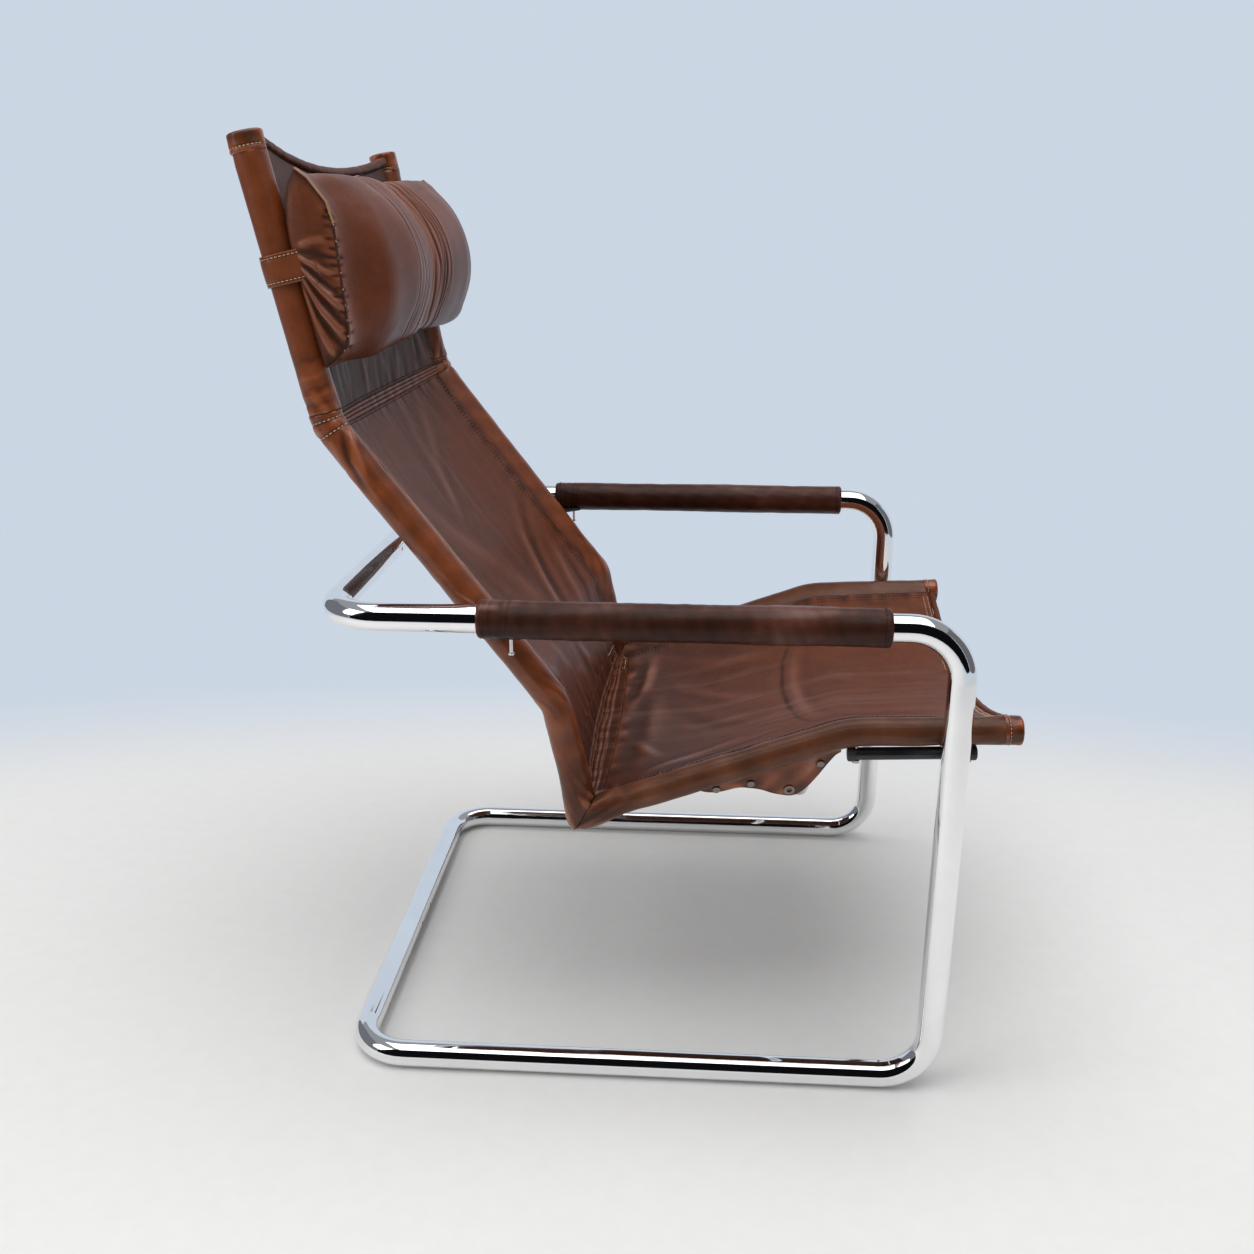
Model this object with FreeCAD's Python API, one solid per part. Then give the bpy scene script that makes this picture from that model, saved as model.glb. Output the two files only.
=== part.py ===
import FreeCAD, Part
import math
import os

# Cantilever lounge chair: a leather sling on two bent rails, carried by two bent chrome tubes.
# X runs forward, Y to the sitter's left and Z up. The origin is under the middle of the chair,
# on the floor. Lengths are millimetres. Right-hand pieces are at negative Y.

Vec = FreeCAD.Vector

# Chrome cantilever frame
FRAME_TUBE_D = 30.0
FRAME_TUBE_WALL = 2.0
FRAME_WIDTH = 616.0          # between the centre lines of the two side loops
LOOP_REAR_X = -333.0
LOOP_FRONT_X = 327.0
ARM_Z = 550.0
FRAME_BEND_R = 56.0
SPIGOT_LENGTH = 90.0
SPIGOT_FIT = 0.2             # radial gap between a spigot and the tube's bore
JOINT_SCREW_D = 5.0
JOINT_SCREW_FROM_END = 25.0

# Padded arms
ARM_PAD_REAR_X = -171.0
ARM_PAD_FRONT_X = 252.0
ARM_PAD_D = 40.6
ARM_COVER_WALL = 1.4
LEFT_PAD_SHIFT = 8.0         # the left pad sits a little further forward
PAD_FIT = 0.2

# Sling rails: corner points of the side profile, as (x, z) on the tube's centre line
RAIL_D = 25.0
RAIL_WALL = 2.0
RAIL_Y = 267.5
RAIL_TOP = (-389.1, 1022.9)
LUMBAR = (-326.2, 741.6)
LOWER_BEND = (-96.4, 444.2)
APEX = (-67.5, 313.6)
SEAT_BEND = (219.7, 418.5)
RAIL_FRONT = (403.3, 426.2)
LUMBAR_R = 60.0
LOWER_BEND_R = 60.0
SEAT_BEND_R = 110.0
PLUG_DEPTH = 14.0
PLUG_FLANGE = 2.5

# Leather
BACK_SLEEVE_R = 17.0
SEAT_SLEEVE_R = 15.5
SLEEVE_FIT = 0.2
CAP_LENGTH = 19.0
CAP_EXTRA_R = 0.6
CAP_END = 3.0
LEFT_TOP_CAP_EXTRA = 6.0     # the left top cap stands a little higher on its rail
APEX_TIP_CUT = 20.8          # the sleeves end this far below the rails' lower corner
SLING_THICKNESS = 2.6
SLING_LINE = 4.0             # the sling joins the sleeves this far in front of the rail's centre line
BACK_SLING_HALF = 250.0
SEAT_SLING_HALF = 251.4
SEAM_GAP = 0.4
TOP_HEM_D = 11.0
TOP_HEM_DOWN = 6.5
TOP_HEM_DROP = 20.0
FRONT_HEM_D = 8.0
FRONT_HEM_SAG = 47.0
HEM_END_GAP = 1.4            # each hem stops this far short of the sling's edge
LUMBAR_BAND_WIDTH = 12.0
CREASE_ON_BACK = 30.0
CREASE_ON_SEAT = 20.0

# Bowed cross tube under the seat
CROSS_TUBE_D = 20.0
CROSS_TUBE_WALL = 2.0
CROSS_TUBE_X = 175.0
CROSS_TUBE_Z = 322.0
CROSS_TUBE_HALF = 216.0
CROSS_TUBE_R = 45.0

# Front carriers: a black bar under each seat rail, bolted to the upright
CARRIER_D = 14.0
CARRIER_DROP = 25.5          # below the rail's centre line
CARRIER_REAR_X = 222.0
CARRIER_FRONT_X = 356.0
CARRIER_CAP_D = 17.0
CARRIER_CAP_LENGTH = 9.0
CARRIER_SCREW_INSET = 7.5
CARRIER_SCREW_D = 4.8
CARRIER_SCREW_HEAD_D = 8.6
CARRIER_SCREW_HEAD = 3.0
CARRIER_BOLT_D = 8.0
CARRIER_BOLT_HEAD_AF = 13.0
CARRIER_BOLT_HEAD = 5.3
CARRIER_SPACER_D = 16.0
INSERT_D = 11.0
INSERT_LENGTH = 11.0
HOLE_FIT = 0.1

# Rear brackets: a steel tab from each back rail to the underside of the arm tube
BRACKET_THICKNESS = 4.0
BRACKET_REAR_X = -184.0
BRACKET_FRONT_X = -126.0
LOCK_PIN_X = -137.0
LOCK_PIN_D = 4.0
LOCK_PIN_HEAD_D = 6.6
LOCK_PIN_HEAD = 2.0
LOCK_PIN_BOTTOM_Z = 512.0
LOCK_PIN_TOP_Z = 543.0

# Flaps and press studs under the seat rails: outline of the flap as (x, z)
FLAP_OUTLINE = [(58.0, 350.0), (76.0, 337.5), (104.0, 344.0), (122.0, 344.5), (150.0, 334.0), (160.0, 331.5),
                (172.0, 345.0), (183.0, 356.0), (197.0, 374.0), (207.0, 385.0), (216.0, 396.0)]
FLAP_THICKNESS = 2.6
FLAP_TILT = 14.0             # degrees, lower edge inboard
FLAP_TOP_Y = 263.0
FLAP_TOP_RISE = 12.0
STUD_D = 9.0
STUD_HEIGHT = 2.4
STUD_PLACES = [(80.0, 343.0), (118.0, 350.5), (193.0, 377.0)]
EYELET_PLACE = (161.0, 341.0)
EYELET_D = 12.0
EYELET_HOLE_D = 6.0

# Headrest, measured down from the rail's top end and forward of the rail's centre line
HEADREST_TOP = 46.0
HEADREST_BOTTOM = 236.0
HEADREST_BACK = 18.2
STRAP_TOP = 115.5
STRAP_WIDTH = 30.0
STRAP_THICKNESS = 2.4
STRAP_FIT = 0.4
STRAP_SEW_LENGTH = 8.0
STRAP_REAR_Y = 226.0
BAND_THICKNESS = 2.0
BAND_LAP = 22.0
LEFT_END_LIFT = 6.0          # the cushion's left end hangs a little higher
COVER_WALL = 1.4
FILLING_GAP = 0.4
# Cushion sections from the end to the middle: (half width y, top inset, bottom inset, front swell)
CUSHION_SECTIONS = [(284.4, 8.0, 6.0, 40.0), (272.0, 2.0, 2.0, 55.0), (225.0, 0.0, 1.0, 78.0),
                    (140.0, 1.0, 2.0, 90.0), (45.0, 3.0, 5.0, 84.0), (0.0, 7.0, 8.0, 71.0)]

OUT = "parts"
TINY = 1e-3


def write(shape, name):
    """Write one named piece, after a look at its soundness."""
    solids = shape.Solids
    if not solids:
        raise RuntimeError(name + " has no solid")
    result = solids[0] if len(solids) == 1 else Part.makeCompound(solids)
    if not result.isValid() or result.Volume <= 0:
        print("unsound", name, result.isValid(), result.Volume)
    result.exportStep(os.path.join(OUT, name + ".step"))
    print(f"{name:28s} {len(solids)} solid(s) {result.Volume / 1000.0:9.1f} cm3")


def mirrored(shape):
    """The same piece on the sitter's left."""
    return shape.mirror(Vec(0, 0, 0), Vec(0, 1, 0))


def write_pair(shape, name):
    write(shape, name + "_right")
    write(mirrored(shape), name + "_left")


def point(xz, y=0.0):
    return Vec(xz[0], y, xz[1])


def unit(vector):
    return Vec(vector).normalize()


def rounded_path(points, radii):
    """A wire of straight runs joined by tangent arcs."""
    edges = []
    start = points[0]
    for before, corner, after, radius in zip(points, points[1:], points[2:], radii):
        incoming = unit(corner - before)
        outgoing = unit(after - corner)
        turn = incoming.getAngle(outgoing)
        reach = radius * math.tan(turn / 2)
        first = corner - incoming * reach
        last = corner + outgoing * reach
        inward = unit(outgoing - incoming)
        middle = corner + inward * (radius / math.cos(turn / 2) - radius)
        if (first - start).Length > TINY:
            edges.append(Part.LineSegment(start, first).toShape())
        edges.append(Part.Arc(first, middle, last).toShape())
        start = last
    if (points[-1] - start).Length > TINY:
        edges.append(Part.LineSegment(start, points[-1]).toShape())
    return Part.Wire(edges)


def pipe(path, radius):
    """A solid round bar along a path."""
    first = path.OrderedEdges[0]
    start = first.valueAt(first.FirstParameter)
    direction = first.tangentAt(first.FirstParameter)
    ring = Part.Wire(Part.makeCircle(radius, start, direction))
    return path.makePipeShell([ring], True, False)


def tube(path, outer, inner):
    return pipe(path, outer).cut(pipe(path, inner))


def cylinder(radius, start, end):
    axis = end - start
    return Part.makeCylinder(radius, axis.Length, start, axis)


def half_space(origin, normal):
    """A large block on the side of a plane that its normal points to."""
    size = 1500.0
    block = Part.makeBox(size, size, size, Vec(-size / 2, -size / 2, 0))
    block.Placement = FreeCAD.Placement(origin, FreeCAD.Rotation(Vec(0, 0, 1), normal))
    return block


def hexagon(across_flats, start, end):
    axis = end - start
    radius = across_flats / math.sqrt(3.0)
    corners = [Vec(radius * math.cos(math.radians(60 * i)), radius * math.sin(math.radians(60 * i)), 0)
               for i in range(7)]
    prism = Part.Face(Part.makePolygon(corners)).extrude(Vec(0, 0, axis.Length))
    prism.Placement = FreeCAD.Placement(start, FreeCAD.Rotation(Vec(0, 0, 1), axis))
    return prism


# Directions of the rail's straight stretches in the side view
UP = unit(point(RAIL_TOP) - point(LUMBAR))
FORWARD = Vec(UP.z, 0, -UP.x)
LOWER_BACK = unit(point(LOWER_BEND) - point(LUMBAR))
LOW_BACK = unit(point(APEX) - point(LOWER_BEND))
SEAT = unit(point(SEAT_BEND) - point(APEX))
FRONT = unit(point(RAIL_FRONT) - point(SEAT_BEND))
APEX_BISECTOR = unit(SEAT - LOW_BACK)
MITRE_NORMAL = Vec(APEX_BISECTOR.z, 0, -APEX_BISECTOR.x)

SIDE_Y = -FRAME_WIDTH / 2
BASE_Z = FRAME_TUBE_D / 2
TUBE_R = FRAME_TUBE_D / 2
TUBE_BORE_R = TUBE_R - FRAME_TUBE_WALL
RAIL_R = RAIL_D / 2


def on_back(down, forward, y):
    """A point at a distance down from the rail's top end and forward of its centre line."""
    return point(RAIL_TOP, y) - UP * down + FORWARD * forward


def normal_of(direction):
    """The direction square to a stretch of rail, towards the sitter."""
    side = Vec(-direction.z, 0, direction.x)
    return side if side.dot(Vec(1, 0, 1)) > 0 else side * -1


def rail_z(x):
    """Height of the seat rail's centre line, with its bend taken as a corner."""
    a, b = (APEX, SEAT_BEND) if x < SEAT_BEND[0] else (SEAT_BEND, RAIL_FRONT)
    return a[1] + (b[1] - a[1]) * (x - a[0]) / (b[0] - a[0])


def back_rail_x(z):
    """Place of the lower back rail's centre line at a height."""
    return LUMBAR[0] + (LOWER_BEND[0] - LUMBAR[0]) * (LUMBAR[1] - z) / (LUMBAR[1] - LOWER_BEND[1])


# Chrome frame: each half runs from the middle of the base, round one side, to the middle at the back
def frame_path(side_y):
    corners = [Vec(LOOP_REAR_X, 0, BASE_Z), Vec(LOOP_REAR_X, side_y, BASE_Z), Vec(LOOP_FRONT_X, side_y, BASE_Z),
               Vec(LOOP_FRONT_X, side_y, ARM_Z), Vec(LOOP_REAR_X, side_y, ARM_Z), Vec(LOOP_REAR_X, 0, ARM_Z)]
    return rounded_path(corners, [FRAME_BEND_R] * 4)


def joint_screw_places():
    """Set screws on the inner side of the cross members, as (start, end), for one half."""
    wall = LOOP_REAR_X + TUBE_R
    for z in (BASE_Z, ARM_Z):
        y = -JOINT_SCREW_FROM_END
        yield Vec(wall - 0.6, y, z), Vec(wall - 8.0, y, z)


def screw_bore(start, end, radius):
    """The hole for a set screw, open at the tube's outside."""
    return cylinder(radius, start + unit(start - end) * 4.0, end)


def make_frame():
    half = tube(frame_path(SIDE_Y), TUBE_R, TUBE_BORE_R)
    for start, end in joint_screw_places():
        half = half.cut(screw_bore(start, end, JOINT_SCREW_D / 2 + HOLE_FIT))
    bolt_z = rail_z(LOOP_FRONT_X) - CARRIER_DROP
    half = half.cut(cylinder(INSERT_D / 2 + HOLE_FIT, Vec(LOOP_FRONT_X, SIDE_Y, bolt_z), Vec(LOOP_FRONT_X, -280, bolt_z)))
    half = half.cut(cylinder(LOCK_PIN_D / 2 + HOLE_FIT, Vec(LOCK_PIN_X, SIDE_Y, ARM_Z - 25), Vec(LOCK_PIN_X, SIDE_Y, ARM_Z)))
    write_pair(half, "frame_tube")


def make_joints():
    for z, name in ((BASE_Z, "base_joint_spigot"), (ARM_Z, "arm_joint_spigot")):
        half = SPIGOT_LENGTH / 2
        spigot = cylinder(TUBE_BORE_R - SPIGOT_FIT, Vec(LOOP_REAR_X, -half, z), Vec(LOOP_REAR_X, half, z))
        for start, end in joint_screw_places():
            if abs(start.z - z) < TINY:
                hole = screw_bore(start, end + Vec(-0.1, 0, 0), JOINT_SCREW_D / 2 + HOLE_FIT)
                spigot = spigot.cut(hole).cut(mirrored(hole))
        write(spigot, name)
    screws = [cylinder(JOINT_SCREW_D / 2, start, end) for start, end in joint_screw_places()]
    write(Part.makeCompound(screws + [mirrored(screw) for screw in screws]), "joint_screws")


def bracket_blank(grow=0.0):
    """The rear bracket before it is notched round the back rail."""
    top = ARM_Z - TUBE_R + grow
    bottom = ARM_Z - TUBE_R - BRACKET_THICKNESS - grow
    rail_x = back_rail_x((top + bottom) / 2)
    corners = [Vec(BRACKET_REAR_X - grow, -RAIL_Y - 4, bottom), Vec(rail_x + 10 + grow, -RAIL_Y - 4, bottom),
               Vec(BRACKET_FRONT_X + grow, SIDE_Y + 12, bottom), Vec(BRACKET_FRONT_X + grow, SIDE_Y - 8 - grow, bottom),
               Vec(LOCK_PIN_X - 11 - grow, SIDE_Y - 8 - grow, bottom), Vec(BRACKET_REAR_X - grow, -RAIL_Y - 18, bottom)]
    return Part.Face(Part.makePolygon(corners + corners[:1])).extrude(Vec(0, 0, top - bottom))


def make_arms():
    cover_bore = ARM_PAD_D / 2 - ARM_COVER_WALL
    slot = bracket_blank(0.3)
    pin_hole = cylinder(LOCK_PIN_HEAD_D / 2, Vec(LOCK_PIN_X, SIDE_Y, ARM_Z - 30), Vec(LOCK_PIN_X, SIDE_Y, ARM_Z - TUBE_R))
    for name, side, shift in (("right", 1, 0.0), ("left", -1, LEFT_PAD_SHIFT)):
        rear = Vec(ARM_PAD_REAR_X + shift, SIDE_Y, ARM_Z)
        front = Vec(ARM_PAD_FRONT_X + shift, SIDE_Y, ARM_Z)
        inset = Vec(ARM_COVER_WALL + PAD_FIT, 0, 0)
        foam = cylinder(cover_bore - PAD_FIT, rear + inset, front - inset)
        foam = foam.cut(cylinder(TUBE_R + PAD_FIT, rear, front)).cut(slot).cut(pin_hole)
        cover = cylinder(ARM_PAD_D / 2, rear, front).cut(cylinder(cover_bore, rear + inset, front - inset))
        cover = cover.cut(cylinder(TUBE_R + PAD_FIT, rear, front)).cut(slot).cut(pin_hole)
        write(foam if side > 0 else mirrored(foam), "arm_padding_" + name)
        write(cover if side > 0 else mirrored(cover), "arm_cover_" + name)


# Sling rails
def back_path(start_down):
    points = [on_back(start_down, 0, -RAIL_Y), point(LUMBAR, -RAIL_Y), point(LOWER_BEND, -RAIL_Y),
              point(APEX, -RAIL_Y) + LOW_BACK * 40.0]
    return rounded_path(points, [LUMBAR_R, LOWER_BEND_R])


def seat_path(end_trim):
    points = [point(APEX, -RAIL_Y) - SEAT * 40.0, point(SEAT_BEND, -RAIL_Y), point(RAIL_FRONT, -RAIL_Y) - FRONT * end_trim]
    return rounded_path(points, [SEAT_BEND_R])


def back_side(shape):
    return shape.common(half_space(point(APEX, -RAIL_Y), MITRE_NORMAL * -1))


def seat_side(shape):
    return shape.common(half_space(point(APEX, -RAIL_Y), MITRE_NORMAL))


def blunt(shape):
    """Cut off the sharp tip of a mitred sleeve."""
    return shape.common(half_space(point(APEX, -RAIL_Y) - APEX_BISECTOR * APEX_TIP_CUT, APEX_BISECTOR))


def carrier_axis():
    """Ends of the carrier bar's centre line."""
    rear = Vec(CARRIER_REAR_X, -RAIL_Y, rail_z(CARRIER_REAR_X) - CARRIER_DROP)
    front = Vec(CARRIER_FRONT_X, -RAIL_Y, rail_z(CARRIER_FRONT_X) - CARRIER_DROP)
    return rear, front


def carrier_screw_axes():
    """Axes of the two screws that hold a seat rail to its carrier, from head to tip."""
    rear, front = carrier_axis()
    across = normal_of(FRONT)
    for place in (rear + FRONT * CARRIER_SCREW_INSET, front - FRONT * CARRIER_SCREW_INSET):
        yield place - across * (CARRIER_D / 2), place + across * (CARRIER_DROP - RAIL_R + RAIL_WALL + 3.0)


def cross_tube_path():
    rail_height = rail_z(CROSS_TUBE_X)
    points = [Vec(CROSS_TUBE_X, -RAIL_Y, rail_height), Vec(CROSS_TUBE_X, -CROSS_TUBE_HALF, CROSS_TUBE_Z),
              Vec(CROSS_TUBE_X, CROSS_TUBE_HALF, CROSS_TUBE_Z), Vec(CROSS_TUBE_X, RAIL_Y, rail_height)]
    return rounded_path(points, [CROSS_TUBE_R] * 2)


def make_rails():
    back = back_side(tube(back_path(CAP_END), RAIL_R, RAIL_R - RAIL_WALL))
    write_pair(back, "back_rail")
    seat = seat_side(tube(seat_path(CAP_END), RAIL_R, RAIL_R - RAIL_WALL))
    for head, tip in carrier_screw_axes():
        seat = seat.cut(cylinder(CARRIER_SCREW_D / 2 + HOLE_FIT, head, tip))
    write_pair(seat, "seat_rail")
    seat_solid = pipe(seat_path(CAP_END), RAIL_R)
    cross = tube(cross_tube_path(), CROSS_TUBE_D / 2, CROSS_TUBE_D / 2 - CROSS_TUBE_WALL)
    write(cross.cut(seat_solid).cut(mirrored(seat_solid)), "seat_cross_tube")
    bore = RAIL_R - RAIL_WALL - SLEEVE_FIT
    for name, end, inward in (("top_plug", on_back(CAP_END, 0, -RAIL_Y), UP * -1),
                              ("front_plug", point(RAIL_FRONT, -RAIL_Y) - FRONT * CAP_END, FRONT * -1)):
        body = cylinder(bore, end, end + inward * PLUG_DEPTH)
        hollow = cylinder(bore - 2.5, end + inward * PLUG_FLANGE, end + inward * (PLUG_DEPTH + 1))
        write_pair(body.cut(hollow), name)


# Carriers, bolts, brackets and pins
def make_carriers():
    rear, front = carrier_axis()
    bar = cylinder(CARRIER_D / 2, rear + FRONT * 2.0, front - FRONT * 2.0)
    bolt_z = rail_z(LOOP_FRONT_X) - CARRIER_DROP
    bolt_hole = cylinder(CARRIER_BOLT_D / 2 + HOLE_FIT, Vec(LOOP_FRONT_X, -330, bolt_z), Vec(LOOP_FRONT_X, -240, bolt_z))
    screws = []
    for head, tip in carrier_screw_axes():
        bar = bar.cut(cylinder(CARRIER_SCREW_D / 2 + HOLE_FIT, head - (tip - head) * 0.2, tip))
        up = unit(tip - head)
        shank = cylinder(CARRIER_SCREW_D / 2, head, tip)
        screws.append(shank.fuse(cylinder(CARRIER_SCREW_HEAD_D / 2, head - up * CARRIER_SCREW_HEAD, head)))
    write_pair(bar.cut(bolt_hole), "carrier_bar")
    for name, end, outward in (("rear", rear, FRONT * -1), ("front", front, FRONT)):
        cap = cylinder(CARRIER_CAP_D / 2, end - outward * (CARRIER_CAP_LENGTH - 2.0), end + outward * 2.0)
        rim = [edge for edge in cap.Edges if (edge.CenterOfMass - (end + outward * 2.0)).Length < 1.0
               and edge.Closed]
        cap = cap.makeFillet(2.5, rim)
        cap = cap.cut(cylinder(CARRIER_D / 2 + SLEEVE_FIT / 2, end - outward * CARRIER_CAP_LENGTH, end - outward * 2.0))
        for head, tip in carrier_screw_axes():
            cap = cap.cut(cylinder(CARRIER_SCREW_HEAD_D / 2 + HOLE_FIT, head - (tip - head), tip))
        write_pair(cap, "carrier_cap_" + name)
    write(Part.makeCompound(screws + [mirrored(screw) for screw in screws]), "carrier_screws")
    inner_face = -RAIL_Y - CARRIER_D / 2
    tube_face = SIDE_Y + TUBE_R
    spacer = cylinder(CARRIER_SPACER_D / 2, Vec(LOOP_FRONT_X, tube_face - 6, bolt_z), Vec(LOOP_FRONT_X, inner_face + 5, bolt_z))
    spacer = spacer.cut(cylinder(TUBE_R, Vec(LOOP_FRONT_X, SIDE_Y, bolt_z - 40), Vec(LOOP_FRONT_X, SIDE_Y, bolt_z + 40)))
    spacer = spacer.cut(cylinder(CARRIER_D / 2, rear, front)).cut(bolt_hole)
    spacer = spacer.cut(cylinder(INSERT_D / 2 + HOLE_FIT, Vec(LOOP_FRONT_X, SIDE_Y, bolt_z), Vec(LOOP_FRONT_X, tube_face + 1, bolt_z)))
    write_pair(spacer, "carrier_spacer")
    insert = cylinder(INSERT_D / 2, Vec(LOOP_FRONT_X, tube_face - INSERT_LENGTH, bolt_z), Vec(LOOP_FRONT_X, tube_face, bolt_z))
    insert = insert.cut(cylinder(CARRIER_BOLT_D / 2 + HOLE_FIT, Vec(LOOP_FRONT_X, SIDE_Y, bolt_z), Vec(LOOP_FRONT_X, -240, bolt_z)))
    write(Part.makeCompound([insert, mirrored(insert)]), "carrier_inserts")
    head_face = -RAIL_Y + CARRIER_D / 2
    bolt = cylinder(CARRIER_BOLT_D / 2, Vec(LOOP_FRONT_X, tube_face - INSERT_LENGTH + 1, bolt_z), Vec(LOOP_FRONT_X, head_face, bolt_z))
    bolt = bolt.fuse(hexagon(CARRIER_BOLT_HEAD_AF, Vec(LOOP_FRONT_X, head_face, bolt_z),
                             Vec(LOOP_FRONT_X, head_face + CARRIER_BOLT_HEAD, bolt_z)))
    write(Part.makeCompound([bolt, mirrored(bolt)]), "carrier_bolts")


def make_brackets():
    rail = pipe(back_path(CAP_END), RAIL_R)
    bracket = bracket_blank().cut(rail)
    pin_hole = cylinder(LOCK_PIN_D / 2 + HOLE_FIT, Vec(LOCK_PIN_X, SIDE_Y, ARM_Z - 40), Vec(LOCK_PIN_X, SIDE_Y, ARM_Z))
    bracket = max(bracket.cut(pin_hole).Solids, key=lambda solid: solid.Volume)
    write_pair(bracket, "rear_bracket")
    low = Vec(LOCK_PIN_X, SIDE_Y, LOCK_PIN_BOTTOM_Z)
    high = Vec(LOCK_PIN_X, SIDE_Y, LOCK_PIN_TOP_Z)
    pin = cylinder(LOCK_PIN_D / 2, low, high)
    pin = pin.fuse(cylinder(LOCK_PIN_HEAD_D / 2, low, low + Vec(0, 0, LOCK_PIN_HEAD)))
    write_pair(pin, "rear_lock_pin")


# Leather sleeves on the rails
def make_sleeves():
    bore = RAIL_R + SLEEVE_FIT
    slot = bracket_blank(0.3)
    cross = pipe(cross_tube_path(), CROSS_TUBE_D / 2 + 0.3)
    lumbar_reach = LUMBAR_R * math.tan(UP.getAngle(LOWER_BACK * -1) / 2)
    lumbar_start = (point(RAIL_TOP) - point(LUMBAR)).Length - lumbar_reach
    upper_path = Part.Wire(Part.LineSegment(on_back(CAP_LENGTH + SEAM_GAP, 0, -RAIL_Y),
                                            on_back(lumbar_start - SEAM_GAP, 0, -RAIL_Y)).toShape())
    write_pair(tube(upper_path, BACK_SLEEVE_R, bore), "upper_sleeve")
    lower = blunt(back_side(tube(back_path(lumbar_start), BACK_SLEEVE_R, bore)))
    write_pair(lower.cut(slot), "lower_sleeve")
    seat = blunt(seat_side(tube(seat_path(CAP_LENGTH + SEAM_GAP), SEAT_SLEEVE_R, bore))).cut(cross)
    for head, tip in carrier_screw_axes():
        seat = seat.cut(cylinder(CARRIER_SCREW_D / 2 + 0.5, head, tip))
    write_pair(seat, "seat_sleeve")
    write(end_cap(on_back(0, 0, -RAIL_Y), UP * -1, BACK_SLEEVE_R, 0.0), "top_cap_right")
    write(mirrored(end_cap(on_back(0, 0, -RAIL_Y), UP * -1, BACK_SLEEVE_R, LEFT_TOP_CAP_EXTRA)), "top_cap_left")
    write_pair(end_cap(point(RAIL_FRONT, -RAIL_Y), FRONT * -1, SEAT_SLEEVE_R, 0.0), "front_cap")


def end_cap(end, inward, radius, extra):
    """A sewn leather cap over a rail's end, a little longer than the rail where extra is given."""
    tip = end - inward * extra
    cap = cylinder(radius + CAP_EXTRA_R, tip, end + inward * CAP_LENGTH)
    rim = [edge for edge in cap.Edges if (edge.CenterOfMass - tip).Length < 1.0 and edge.Closed]
    cap = cap.makeFillet(2.5, rim)
    return cap.cut(cylinder(RAIL_R + SLEEVE_FIT, end + inward * CAP_END, end + inward * (CAP_LENGTH + 1)))


# Sling: each panel is a ruled solid through sagging strips square to the rail
def strip(origin, normal, sag, half):
    """Outline of a sagging strip: two arcs across the chair and two short ends."""
    def at(y, depth):
        return Vec(origin.x, y, origin.z) + normal * (SLING_LINE + depth)
    t = SLING_THICKNESS / 2
    front = Part.Arc(at(-half, t), at(0, t - sag), at(half, t)).toShape()
    back = Part.Arc(at(half, -t), at(0, -t - sag), at(-half, -t)).toShape()
    ends = [Part.LineSegment(at(side, t), at(side, -t)).toShape() for side in (half, -half)]
    return Part.Wire([front, ends[0], back, ends[1]])


def panel(stations, half):
    return Part.makeLoft([strip(*station, half) for station in stations], True, True)


def hem(end_point, middle_point, half, diameter):
    arc = Part.Arc(Vec(end_point.x, -half, end_point.z), middle_point, Vec(end_point.x, half, end_point.z))
    return pipe(Part.Wire(arc.toShape()), diameter / 2)


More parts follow.
